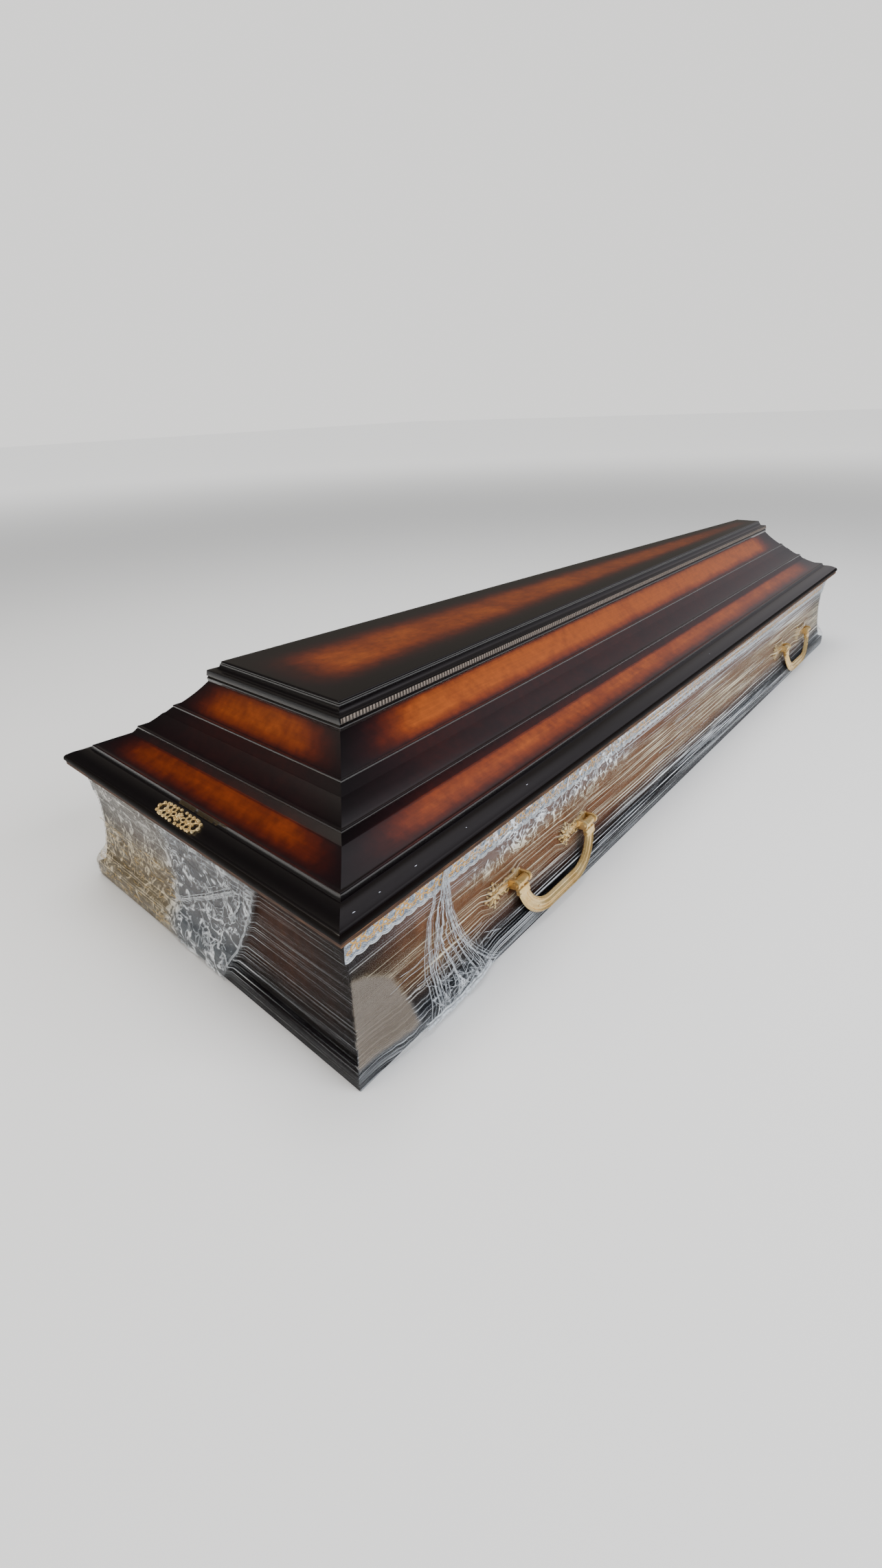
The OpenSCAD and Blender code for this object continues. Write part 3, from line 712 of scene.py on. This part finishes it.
PLATE_Z = 0.092
face_rise = (SEAT - PLINTH_TOP) / MM
LIFT = math.atan((FLARE + DISH * (1 - 2 * (PLATE_Z - PLINTH_TOP) / (SEAT - PLINTH_TOP))) / face_rise)
HINGE_OUT = 14.7
hinges = {j["child"]: np.array(j["pos_m"]) for j in frame["joints"]}


def handle_axes(side, lean=0.0):
    """Along the side, outward, and up the face, in metres per mm; lean swings the last two out."""
    flip = 1 if side == "right" else -1
    a = LIFT + lean
    run_way = np.array([COS_TAPER, flip * TAPER * COS_TAPER, 0.0])
    out_way = np.array([TAPER * COS_TAPER, -flip * COS_TAPER, 0.0])
    up = np.array([0.0, 0.0, 1.0])
    outward = out_way * math.cos(a) + up * math.sin(a)
    return np.array([run_way, outward, up * math.cos(a) - out_way * math.sin(a)]) * MM


def slab(outline_points, x0, x1, soft):
    """A plate across x: its (y, z) outline is drawn in by soft at both faces and closed to its middle."""
    middle = outline_points.mean(axis=0)
    rows = []
    for x, scale in ((x0, 0), (x0, 1 - soft), (x0 + 0.9, 1), (x1 - 0.9, 1), (x1, 1 - soft), (x1, 0)):
        ring_yz = middle + (outline_points - middle) * scale
        rows.append(np.column_stack([np.full(len(ring_yz), x), ring_yz]))
    return np.array(rows)


ROSETTE = -52
swap = (0, 2, 1)
# each entry is a surface, and whether its rows close up to a ring
fitting = []
for k in range(8):
    a = math.radians(45 * k)
    petal = boss((10.2, 0, 2.7), (5.6, 2.9, 2.6), 8, 14)
    turned = np.stack([ROSETTE + petal[..., 0] * math.cos(a) - petal[..., 1] * math.sin(a),
                       petal[..., 0] * math.sin(a) + petal[..., 1] * math.cos(a), petal[..., 2]], axis=-1)
    fitting.append((turned[..., swap], False))
for number, first_a, out_r, high, radii in ((16, 0.0, 16.6, 2.4, (1.7, 1.7, 2.0)),
                                            (8, 22.5, 6.4, 3.6, (1.5, 1.5, 2.6))):
    for k in range(number):
        a = math.radians(360 / number * k + first_a)
        bead = boss((ROSETTE + out_r * math.cos(a), out_r * math.sin(a), high), radii, 6, 8)
        fitting.append((bead[..., swap], False))
fitting.append((boss((ROSETTE, 0, 3.4), (5.6, 5.6, 3.6), 8, 16)[..., swap], False))
for s in (-1, 1):
    fitting.append((loop((-32, s * 5.6, 2.3), (5.0, 3.2), 1.4)[..., swap], True))
    fitting.append((loop((-21, s * 7.5, 2.3), (5.0, 3.6), 1.5)[..., swap], True))
    fitting.append((boss((0, s * 13.5, 2.2), (4.6, 3.6, 2.8), 6, 10)[..., swap], False))
    fitting.append((boss((ROSETTE, s * 19.4, 2.0), (2.6, 3.0, 2.2), 6, 10)[..., swap], False))
fitting.append((boss((ROSETTE - 19.4, 0, 2.2), (3.0, 2.6, 2.2), 6, 10)[..., swap], False))
corner_a = np.linspace(0, 2 * math.pi, 40, endpoint=False)
squared = np.column_stack([np.sign(np.cos(corner_a)) * np.abs(np.cos(corner_a)) ** 0.35,
                           np.sign(np.sin(corner_a)) * np.abs(np.sin(corner_a)) ** 0.35])
for half_x, half_z, mid_x, thick in ((17.6, 10.8, 0.0, 3.4), (14.0, 4.6, -29.0, 4.2)):
    rows = [np.column_stack([mid_x + squared[:, 0] * half_x * k, np.full(40, y), squared[:, 1] * half_z * k])
            for y, k in ((0.7, 0), (0.7, 1), (thick - 0.8, 1), (thick, 0.94), (thick + 0.1, 0.0))]
    fitting.append((np.array(rows), False))
cheek_line = np.vstack([[[1.4, 8.0]], arc((HINGE_OUT, 0), 8, 90, -90, 17), [[1.4, -8.0]]])
for x0, x1 in ((12.5, 17.5), (-17.5, -12.5)):
    fitting.append((slab(cheek_line, x0, x1, 0.08), False))
for end in ("head", "foot"):
    for side in ("right", "left"):
        axes = handle_axes(side)
        for lug, key in ((-100, "a"), (100, "b")):
            foot_of = hinges[f"bail_{end}_{side}"] - HINGE_OUT * axes[1] + lug * axes[0]
            cast = piece(f"hinge_plate_{end}_{side}_{key}", [
                skin(seat_on(p, foot_of, axes), round_columns=True, round_rows=ring) for p, ring in fitting],
                [brass], sharp=50)
            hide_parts(f"plate_{end}_{side}_{key}")
            hinge_pin = frame["nodes"][f"pin_{end}_{side}_{key}"]
            hinge_pin.data.materials.clear()
            hinge_pin.data.materials.append(brass)

# ---- bails --------------------------------------------------------------------------------
# A broad strip of cast brass-plated zinc bent to a wide U, with two raised edges and a crown
# along its front, a squared cuff at each end and a bored knuckle on each hinge pin.

LEAN = math.radians(5.5)
HALF_SPAN, DROP, BEND = 100.0, 68.0, 63.0
turn_q = np.radians(np.linspace(0, 90, 22))
left_bend = np.column_stack([-(HALF_SPAN - BEND) - BEND * np.cos(turn_q),
                             -(DROP - BEND) - BEND * np.sin(turn_q)])
foot_run = [[x, -DROP] for x in (-25, -12, 0, 12, 25)]
line = np.vstack([[[-HALF_SPAN, -3.0]], left_bend, foot_run, left_bend[::-1] * [-1, 1], [[HALF_SPAN, -3.0]]])
heading = np.gradient(line, axis=0)
heading = heading / np.hypot(*heading.T)[:, None]
inward_way = np.column_stack([-heading[:, 1], heading[:, 0]])
front_w = np.linspace(-12, 12, 41)
rim_round = np.sqrt(np.clip(1 - (np.abs(front_w) / 12) ** 10, 0, 1))
front_o = (0.7 + 2.7 * np.exp(-((np.abs(front_w) - 9.2) / 1.5) ** 2) + 2.6 * np.exp(-((front_w) / 3.2) ** 2)
           ) * rim_round + 0.2 * (rim_round - 1)
section = np.vstack([np.column_stack([front_w, front_o]),
                     np.column_stack([np.linspace(11.4, -11.4, 12),
                                      -3.2 + 1.2 * (np.linspace(1, -1, 12)) ** 6])])
strip = np.stack([line[None, :, 0] + section[:, :1] * inward_way[None, :, 0],
                  section[:, 1:] + 0 * line[None, :, 0],
                  line[None, :, 1] + section[:, :1] * inward_way[None, :, 1]], axis=-1)
# each entry is a surface, whether its rows and its columns close up, and whether its ends are capped
parts = [(strip, True, False, True)]
tube_a = np.linspace(0, 2 * math.pi, 28, endpoint=False)
for s in (-1, 1):
    rows = [np.column_stack([np.full(28, s * HALF_SPAN + x), r * np.cos(tube_a), r * np.sin(tube_a)])
            for x, r in ((-11.9, 3.15), (-11.9, 6.3), (-11.2, 7.0), (11.2, 7.0), (11.9, 6.3), (11.9, 3.15))]
    parts.append((np.array(rows), True, True, False))
    rows = [np.column_stack([s * (HALF_SPAN - 1) + squared[:, 0] * 13.2 * k, squared[:, 1] * 4.6 * k,
                             np.full(40, z)])
            for z, k in ((-9.2, 0), (-9.2, 0.93), (-10.2, 1), (-14.6, 1), (-15.4, 0.94), (-16.2, 0.94),
                         (-17.0, 1), (-20.2, 1), (-21.2, 0.92), (-21.2, 0))]
    parts.append((np.array(rows), False, True, False))
    stud = boss((s * 72, 2.0, -58.6), (2.4, 2.2, 2.4), 6, 12)
    parts.append((stud, False, True, False))
for end in ("head", "foot"):
    for side in ("right", "left"):
        axes = handle_axes(side, LEAN)
        hung = piece(f"swing_bail_{end}_{side}", [
            skin(seat_on(p, hinges[f"bail_{end}_{side}"], axes), round_rows=a, round_columns=b, caps=c)
            for p, a, b, c in parts], [brass], body=f"bail_{end}_{side}", sharp=45)
        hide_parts(f"bail_{end}_{side}")

# ---- stretch film -------------------------------------------------------------------------
# Clear film, 20 micrometres thick, wound tight round the box below the lid. It spans the hollow
# walls, lies over lace and plates, creases along its pull, and is bunched at the near corner.

# Stretch film: clear, with whitish streaks of painted highlight along its draw and folds, a taupe patch of
# painted reflection and a warm tint on the painted highlights
film = finish_of("clear_stretch_film")
place = add(film, "TexCoord")
marked = {key: add(film, "Attribute", attribute_name=key).outputs["Fac"]
          for key in ("haze", "milk", "streak", "warm", "crumple")}
drawn = []
for lengthwise, upwise, low, high in ((2.2, 430.0, 0.53, 0.66), (8.0, 1000.0, 0.50, 0.62),
                                      (1.6, 34.0, 0.42, 0.60)):
    lie = add(film, "Mapping", {"Vector": place.outputs["UV"], "Scale": (lengthwise, upwise, 1.0)})
    lines = add(film, "TexNoise", {"Vector": lie, "Scale": 1.0, "Detail": 3.0, "Distortion": 0.12})
    drawn.append(add(film, "MapRange", {0: lines, 1: low, 2: high}))
fine = add(film, "Math", {0: drawn[1], 1: drawn[2]}, operation="MULTIPLY")
lines_up = add(film, "Math", {0: fine, 1: 0.9, 2: drawn[0]}, operation="MULTIPLY_ADD")
# loose film: creases where a noise crosses its middle, 20 to 40 mm apart, carrying painted highlights that
# are bright in patches
knot = add(film, "TexNoise", {"Vector": place.outputs["Object"], "Scale": 30.0, "Detail": 4.0,
                              "Distortion": 1.6})
bright = add(film, "TexNoise", {"Vector": place.outputs["Object"], "Scale": 17.0, "Detail": 2.0})
lit_patch = add(film, "MapRange", {0: bright, 1: 0.40, 2: 0.62, 3: 0.12, 4: 1.5})
offset = add(film, "Math", {0: knot, 1: 0.5}, operation="SUBTRACT")
valley = add(film, "Math", {0: offset}, operation="ABSOLUTE")
narrow = add(film, "MapRange", {0: valley, 1: 0.0, 2: 0.05, 3: 0.9, 4: 0.05})
crumple_highlight = add(film, "Math", {0: narrow, 1: lit_patch}, operation="MULTIPLY")
# painted glints of the window's reflection, wet-looking and 15 mm long, on the loose film
dab = add(film, "TexNoise", {"Vector": place.outputs["Object"], "Scale": 52.0, "Detail": 3.0,
                             "Distortion": 1.2})
glint = add(film, "MapRange", {0: dab, 1: 0.53, 2: 0.64, 3: 0.0, 4: 1.0})
crumple_highlight = add(film, "Math", {0: crumple_highlight, 1: glint}, operation="MAXIMUM")
# how much painted highlight each spot gets: drawn lines on the taut film, crease lines and glints where it is
# crumpled
weave = add(film, "Mix", {0: marked["crumple"], 2: lines_up, 3: crumple_highlight})
pulled = add(film, "Math", {0: weave, 1: marked["streak"], 2: marked["haze"]}, operation="MULTIPLY_ADD")
cover = add(film, "Math", {0: marked["milk"], 1: 0.55, 2: pulled}, operation="MULTIPLY_ADD", use_clamp=True)
# the painted highlights turn the film from grey to near white, warm-tinted where marked; the patch of painted
# reflection is taupe
cold = add(film, "Mix", {0: weave, 6: linear("#7f878e"), 7: linear("#e9eef2")}, data_type="RGBA")
warm_lit_tint = add(film, "Mix", {0: weave, 6: linear("#948057"), 7: linear("#efdfb8")}, data_type="RGBA")
blend = add(film, "Mix", {0: marked["warm"], 6: cold.outputs[2], 7: warm_lit_tint.outputs[2]}, data_type="RGBA")
tint = add(film, "Mix", {0: marked["milk"], 6: blend.outputs[2], 7: linear("#847a6e")}, data_type="RGBA")
folds = add(film, "Bump", {"Height": weave, "Strength": 0.35, "Distance": 0.0008})
sheet = add(film, "BsdfPrincipled", {"Base Color": tint.outputs[2], "Roughness": 0.18, "Alpha": cover,
                                     "Normal": folds})
add(film, "OutputMaterial", {0: sheet})

# The same film drawn together to a rope: many layers, so whiter and nearly opaque
roped = finish_of("bunched_stretch_film")
place = add(roped, "TexCoord")
wisps = add(roped, "TexNoise", {"Vector": place.outputs["Object"], "Scale": 160.0, "Detail": 3.0})
layers = add(roped, "MapRange", {0: wisps, 1: 0.35, 2: 0.65, 3: 0.25, 4: 0.85})
pale_rope = add(roped, "BsdfPrincipled", {"Base Color": linear("#d9dee2"), "Roughness": 0.2, "Alpha": layers})
add(roped, "OutputMaterial", {0: pale_rope})
# a warm-tinted copy for the head end's thin wrinkles: painted warm highlight
warm_lit_rope = variant(roped, "stretch_film_painted_warm_highlight", {"Base Color": linear("#d9bd84")})

lugs = [float(hinges[f"bail_{end}_right"][0]) + s * HALF_SPAN * MM * COS_TAPER
        for end in ("head", "foot") for s in (-1, 1)]
# outline of the taupe patch of painted reflection at the near corner, along and up the right side
reflection_outline = np.array([(-1.03, 0.031), (-0.914, 0.029), (-0.916, 0.056), (-0.938, 0.104), (-0.977, 0.132),
                  (-1.03, 0.150)])


def film_line(z):
    """Set-in of the taut film: a hair outside the plinth rail, easing in to a hair outside wall and lace."""
    on_rail = -0.4 * MM
    on_wall = hollow(z) - (1.6 + 1.5 * ease(z, 0.150, 0.172)) * MM
    return on_rail + (on_wall - on_rail) * ease(z, 0.024, 0.066)


def crease_sum(seed, along, z, number, places, heights, spans, tilt):
    """Sum of long creases: each is height times a bell across a tilted wavy line and a bell along it."""
    dice = np.random.default_rng(seed)
    total = 0 * (along + z)
    for _ in range(number):
        a0, z0 = dice.uniform(*places[0]), dice.uniform(*places[1])
        high, wide, span = dice.uniform(*heights), dice.uniform(1.5, 4.0) * MM, dice.uniform(*spans)
        lean_z, phase = dice.normal(0, tilt), dice.uniform(0, 6)
        line_z = z0 + lean_z * (along - a0) + 0.0012 * np.sin(along / span * 5 + phase)
        total = total + high * MM * np.exp(-((z - line_z) / wide) ** 2 - ((along - a0) / span) ** 2)
    return total


def blob_edge(z):
    """The slanting edge of the loose film on the head end: y goes from -0.155 at z 0.177 down and inwards."""
    return -0.155 + (0.177 - z) * 0.52


def from_plate(along, z, lug):
    """Distance to the middle line of a lug's plate, which lies 12 to 52 mm to the lug's head side."""
    return np.hypot(along - np.clip(along, lug - 0.052, lug - 0.012), z - PLATE_Z)


def film_out(side, along, z):
    """How far the film stands out from its taut line: creases, and swellings over plates and loose film."""
    seed = {"right": 11, "left": 12, "head": 13, "foot": 14}[side]
    total = crease_sum(seed, along, z, 70 if side == "right" else 46,
                       ((along.min(), along.max()), (0.03, 0.215)), (0.4, 1.5), (0.04, 0.22), 0.02)
    if side in ("right", "left"):
        for lug in lugs:
            away = from_plate(along, z, lug)
            total = np.maximum(total, 8.2 * MM * (1 - ease(away, 0.012, 0.036)))
    if side == "right":
        loose = ease(along, -1.0, -0.93) * (1 - ease(along, -0.80, -0.735)) * (1 - ease(z, 0.03, 0.105))
        crumple = 6.5 + 1.3 * np.abs(np.sin(along * 148 + 30 * z))
        crumple = crumple + 1.4 * np.abs(np.sin(along * 61 - 95 * z + 1.3))
        total = total + loose * crumple * MM
    if side == "head":
        y_b = blob_edge(z)
        loose = ease(along, y_b - 0.004, y_b + 0.004) * (1 - ease(along, 0.05, 0.12))
        loose = loose * (1 - ease(z, 0.17, 0.20))
        lip = np.exp(-((along - y_b - 0.006) / 0.004) ** 2) * (z < 0.19)
        crumple = 1.2 + 1.4 * np.abs(np.sin(along * 120 + 60 * z))
        crumple = crumple + 0.9 * np.abs(np.sin(along * 40 - 150 * z))
        total = total + loose * crumple * MM + 1.6 * lip * MM
        total = total + crease_sum(15, along, z, 60, ((0.06, 0.32), (0.01, 0.13)), (0.3, 0.9),
                                   (0.01, 0.05), 0.25)
    return total


def film_marks(side, along, z):
    """Marks 0 to 1 over the film: haze, a taupe patch of painted reflection, streak and crumple for where the
    painted highlights go, and warm for their warm tint.
    """
    haze = 0.006 + 0 * (along + z)
    streak = 0.50 + 0 * (along + z)
    milk = warm = crumple = 0 * (along + z)
    if side in ("right", "left"):
        haze = haze + 0.20 * ease(along, -0.5, 0.5) * (0.35 + 0.65 * ease(z, 0.03, 0.09))
        # the painted highlight streaks grow towards the far end and thin out under the lace near the head;
        # warm tints the middle band
        streak = streak + 0.38 * ease(along, -0.85, 0.0) - 0.22 * ease(z, 0.150, 0.168) * (
            1 - ease(along, -0.85, -0.60))
        warm = 0.85 * ease(z, 0.04, 0.08) * (1 - ease(z, 0.13, 0.165)) + 0 * along
        for lug in lugs:
            away = from_plate(along, z, lug)
            haze = haze + 0.03 * (1 - ease(away, 0.010, 0.040))
            streak = streak * (1 - 0.45 * (1 - ease(away, 0.006, 0.030)))
    if side == "right":
        # the patch of painted reflection, inside that outline, with the streaks taken out under it
        inside = np.full(np.broadcast(along, z).shape, 1.0)
        for (x0, z0), (x1, z1) in zip(reflection_outline, np.roll(reflection_outline, -1, axis=0)):
            turned = (x1 - x0) * (z - z0) - (z1 - z0) * (along - x0)
            inside = np.minimum(inside, turned / math.hypot(x1 - x0, z1 - z0))
        milk = ease(inside, -0.004, 0.006)
        streak = streak * (1 - milk) * (0.55 + 0.45 * ease(along, -0.93, -0.86))
        crumple = 0.7 * ease(along, -0.92, -0.88) * (1 - ease(along, -0.80, -0.75))
        crumple = crumple * (1 - ease(z, 0.04, 0.085))
        # tangled layers over the lace, from the fan of strands to past the handle
        tangle = ease(along, -0.84, -0.72) * (1 - ease(along, -0.40, -0.24)) * ease(z, 0.110, 0.150)
        crumple = np.maximum(crumple, 0.9 * tangle)
        haze = haze + 0.16 * tangle
        streak = streak + 0.25 * tangle
        # more painted highlight streaks low down near the corner
        near = 1 - ease(along, -0.90, -0.60)
        streak = streak + 0.22 * near * (1 - ease(z, 0.02, 0.14))
        haze = haze + 0.04 * near
    if side == "head":
        y_b = blob_edge(z)
        loose = ease(along, y_b, y_b + 0.01) * (1 - ease(along, 0.06, 0.12))
        haze = haze + 0.36 * loose + 0.34 * ease(along, 0.05, 0.12)
        crumple = loose * (1 - 0.5 * ease(z, 0.15, 0.19)) + 0.62 * ease(along, 0.06, 0.12)
        streak = streak * (0.22 + 0.8 * ease(along, -0.17, -0.10))
        # warm tint of the painted highlights over the head end's left part
        warm = 0.9 * ease(along, 0.05, 0.12) * (1 - 0.6 * ease(z, 0.09, 0.15))
    return {"haze": haze, "milk": milk, "streak": streak, "warm": warm, "crumple": crumple}


film_z = np.linspace(0.002, SEAT - 0.0015, 110)[:, None]
pitches = {
    "right": ((-1.025, -0.45, 180), (-0.45, 0.54, 66), (0.54, 0.86, 64), (0.86, 1.025, 14)),
    "left": ((-1.025, -0.75, 25), (-0.75, -0.43, 62), (-0.43, 0.54, 50), (0.54, 0.86, 64), (0.86, 1.025, 14)),
    "head": ((-1.025, 1.025, 200),), "foot": ((-1.025, 1.025, 70),)}
wound = []
for side, steps in pitches.items():
    film_t = np.concatenate([np.linspace(a, b, n)[(k > 0) :] for k, (a, b, n) in enumerate(steps)])[None, :]
    film_t = (film_t + 1.025) / 2.05
    taut = film_line(film_z)
    x, y = outline(side, taut, film_t)
    along = (x if side in ("right", "left") else y) + 0 * film_z
    stand = film_out(side, along, film_z) * ease(from_mitre(side, taut, film_t), 0, 0.012)
    x, y = outline(side, taut - stand, film_t)
    points = np.stack([x + 0 * y, y + 0 * x, film_z + 0 * (x + y)], axis=-1)
    cell_x = (along[:-1, :-1] + along[1:, 1:]) / 2
    cell_z = (film_z[:-1] + film_z[1:]) / 2
    stay = np.ones(cell_x.shape, bool)
    if side in ("right", "left"):
        for lug in lugs:
            stay &= ~((np.abs(cell_x - lug) < 0.0215) & (np.abs(cell_z - PLATE_Z) < 0.012))
    wound.append(skin(points, uv=(along, film_z), keep=stay, **film_marks(side, along, film_z)))
wrap = piece("film_wrap", wound, [film], sharp=180, solid=False)

# ---- gathers of the film ------------------------------------------------------------------
# The film drawn together to strands and ropes, which run from under the lid down to the near
# corner and lie on the wrap. The same plastic, several layers thick.


def smooth_way(points, turns=3):
    """Cuts the corners of a way over and over: each step keeps the points at a quarter and three quarters."""
    way = np.array(points, float)
    for _ in range(turns):
        cut = np.stack([0.75 * way[:-1] + 0.25 * way[1:], 0.25 * way[:-1] + 0.75 * way[1:]], axis=1)
        way = np.vstack([way[:1], cut.reshape(-1, 2), way[-1:]])
    return way


def strand(side, way, radius, slot=0):
    """A five-sided strand along a way on the wrap: a ring round each point, thinning to both ends."""
    along, z = way[:, 0], way[:, 1]
    middle = on_face(side, along, z, film_line(z) - film_out(side, along, z) - 0.4 * radius)
    tangent = np.gradient(middle, axis=0)
    tangent = tangent / np.linalg.norm(tangent, axis=1)[:, None]
    outward = np.array({"right": (0.0, -1.0, 0.0), "left": (0.0, 1.0, 0.0), "head": (-1.0, 0.0, 0.0)}[side])
    across_way = np.cross(tangent, outward)
    b = np.linspace(0, 2 * math.pi, 5, endpoint=False)
    thin = radius * (0.25 + 0.75 * np.sin(math.pi * np.linspace(0.04, 0.96, len(way)))) ** 0.7
    rings = middle[:, None, :] + thin[:, None, None] * (
        np.cos(b)[None, :, None] * across_way[:, None, :] + np.sin(b)[None, :, None] * outward)
    return skin(rings, round_columns=True, slot=slot)


draw = np.random.default_rng(5)
fan = [[(-0.835, 0.205), (-0.846, 0.136), (-0.850, 0.102), (-0.869, 0.065), (-0.875, 0.012)],
       [(-0.834, 0.205), (-0.834, 0.142), (-0.838, 0.112), (-0.848, 0.100), (-0.837, 0.053), (-0.848, 0.021)],
       [(-0.832, 0.205), (-0.827, 0.138), (-0.820, 0.099), (-0.802, 0.056), (-0.766, 0.018), (-0.745, 0.006)],
       [(-0.830, 0.200), (-0.814, 0.107), (-0.797, 0.052), (-0.782, 0.013)],
       [(-0.833, 0.200), (-0.823, 0.121), (-0.816, 0.062), (-0.798, 0.012)],
       [(-0.848, 0.190), (-0.871, 0.106), (-0.878, 0.059), (-0.887, 0.030), (-0.895, 0.008)]]
ropes = [strand("right", smooth_way(w), draw.uniform(0.5, 0.9) * MM) for w in fan]
for _ in range(34):
    first = np.array(smooth_way(fan[draw.integers(0, 6)], 2))
    spread = draw.normal(0, 0.010) * (1 - ease(first[:, 1], 0.02, 0.20))
    ropes.append(strand("right", first + np.column_stack([spread + draw.normal(0, 0.0015), 0 * spread]),
                        draw.uniform(0.2, 0.45) * MM))
for _ in range(60):
    a0, z0, span, a = (draw.uniform(-0.895, -0.765), draw.uniform(0.010, 0.062), draw.uniform(0.012, 0.045),
                       draw.uniform(-1.2, 1.2))
    snarl = [(a0 + k * span / 4 * math.cos(a),
              max(z0 + k * span / 4 * math.sin(a), 0.005) + draw.uniform(0, 0.003)) for k in range(5)]
    ropes.append(strand("right", smooth_way(snarl, 2), draw.uniform(0.2, 0.55) * MM))
tongue = [(-0.912, 0.013), (-0.883, 0.010), (-0.845, 0.008), (-0.807, 0.012), (-0.766, 0.016)]
ropes += [strand("right", smooth_way(tongue) + [0, s], r * MM)
          for s, r in ((0, 2.6), (0.006, 1.4), (-0.004, 1.2))]
for _ in range(46):
    a0, z0, span = draw.uniform(-0.95, 0.9), draw.uniform(0.035, 0.20), draw.uniform(0.03, 0.16)
    if min(abs(a0 - lug) for lug in lugs) > 0.11 + span / 2:
        level_way = [(a0 + k * span / 5, z0 + draw.normal(0, 0.0012)) for k in range(6)]
        ropes.append(strand("right", smooth_way(level_way, 2), draw.uniform(0.25, 0.5) * MM))
bundle = [(0.082, 0.065), (0.035, 0.086), (-0.017, 0.113), (-0.065, 0.141), (-0.108, 0.166)]
fork = [(-0.074, 0.097), (-0.095, 0.125), (-0.115, 0.151), (-0.113, 0.162)]
for way_points, n, side_step in ((bundle, 9, 0.004), (fork, 4, 0.003)):
    for _ in range(n):
        moved = np.array(way_points) + draw.normal(0, side_step, (1, 2))
        moved = moved + draw.normal(0, 0.0012, (len(way_points), 2))
        ropes.append(strand("head", smooth_way(moved), draw.uniform(0.4, 1.1) * MM))
rim_z = np.linspace(0.03, 0.175, 9)
ropes += [strand("head", smooth_way(np.column_stack([blob_edge(rim_z) + 0.006 + s, rim_z])), 0.9 * MM)
          for s in (0, 0.003)]
for _ in range(44):
    y0, z0, span, a = (draw.uniform(-0.13, 0.07), draw.uniform(0.03, 0.16), draw.uniform(0.008, 0.03),
                       draw.uniform(-0.9, 0.9))
    if y0 > blob_edge(z0) + 0.01:
        crinkle = [(y0 + k * span / 4 * math.cos(a), z0 + k * span / 4 * math.sin(a) + draw.normal(0, 0.001))
                   for k in range(5)]
        ropes.append(strand("head", smooth_way(crinkle, 2), draw.uniform(0.25, 0.6) * MM))
# thin wrinkles over the head end's left part, tinted warm as painted highlight
for _ in range(90):
    y0, z0, span = draw.uniform(0.07, 0.31), draw.uniform(0.010, 0.115), draw.uniform(0.008, 0.028)
    warm_lit_way = [(y0 + k * span / 5, z0 + draw.normal(0, 0.0016)) for k in range(6)]
    ropes.append(strand("head", smooth_way(warm_lit_way, 2), draw.uniform(0.3, 0.6) * MM, 1))
bunched = piece("film_gathers", ropes, [roped, warm_lit_rope], sharp=180, solid=False)

# ---- dust ---------------------------------------------------------------------------------
# A few flecks of pale dust, 2 to 4 mm long, lying on the lid's lowest band.

# Pale chalky dust, quite matt
dust = finish_of("white_chalk_dust")
chalk = add(dust, "BsdfPrincipled", {"Base Color": linear("#b9bdc9"), "Roughness": 0.95})
add(dust, "OutputMaterial", {0: chalk})
flecks = []
for x in (-0.991, -0.950, -0.889, -0.790, -0.652, 0.028):
    w = draw.uniform(0.25, 0.42)
    spot = on_face("right", x, SEAT + (17.8 + 7.5 * w + 6.4 * w * (1 - w)) * MM, (6.6 + 24.4 * w) * MM)
    flecks.append(skin(boss(spot, np.array([draw.uniform(0.9, 2.2), 0.5, 0.35]) * MM), round_columns=True))
piece("lid_dust_flecks", flecks, [dust], sharp=60)
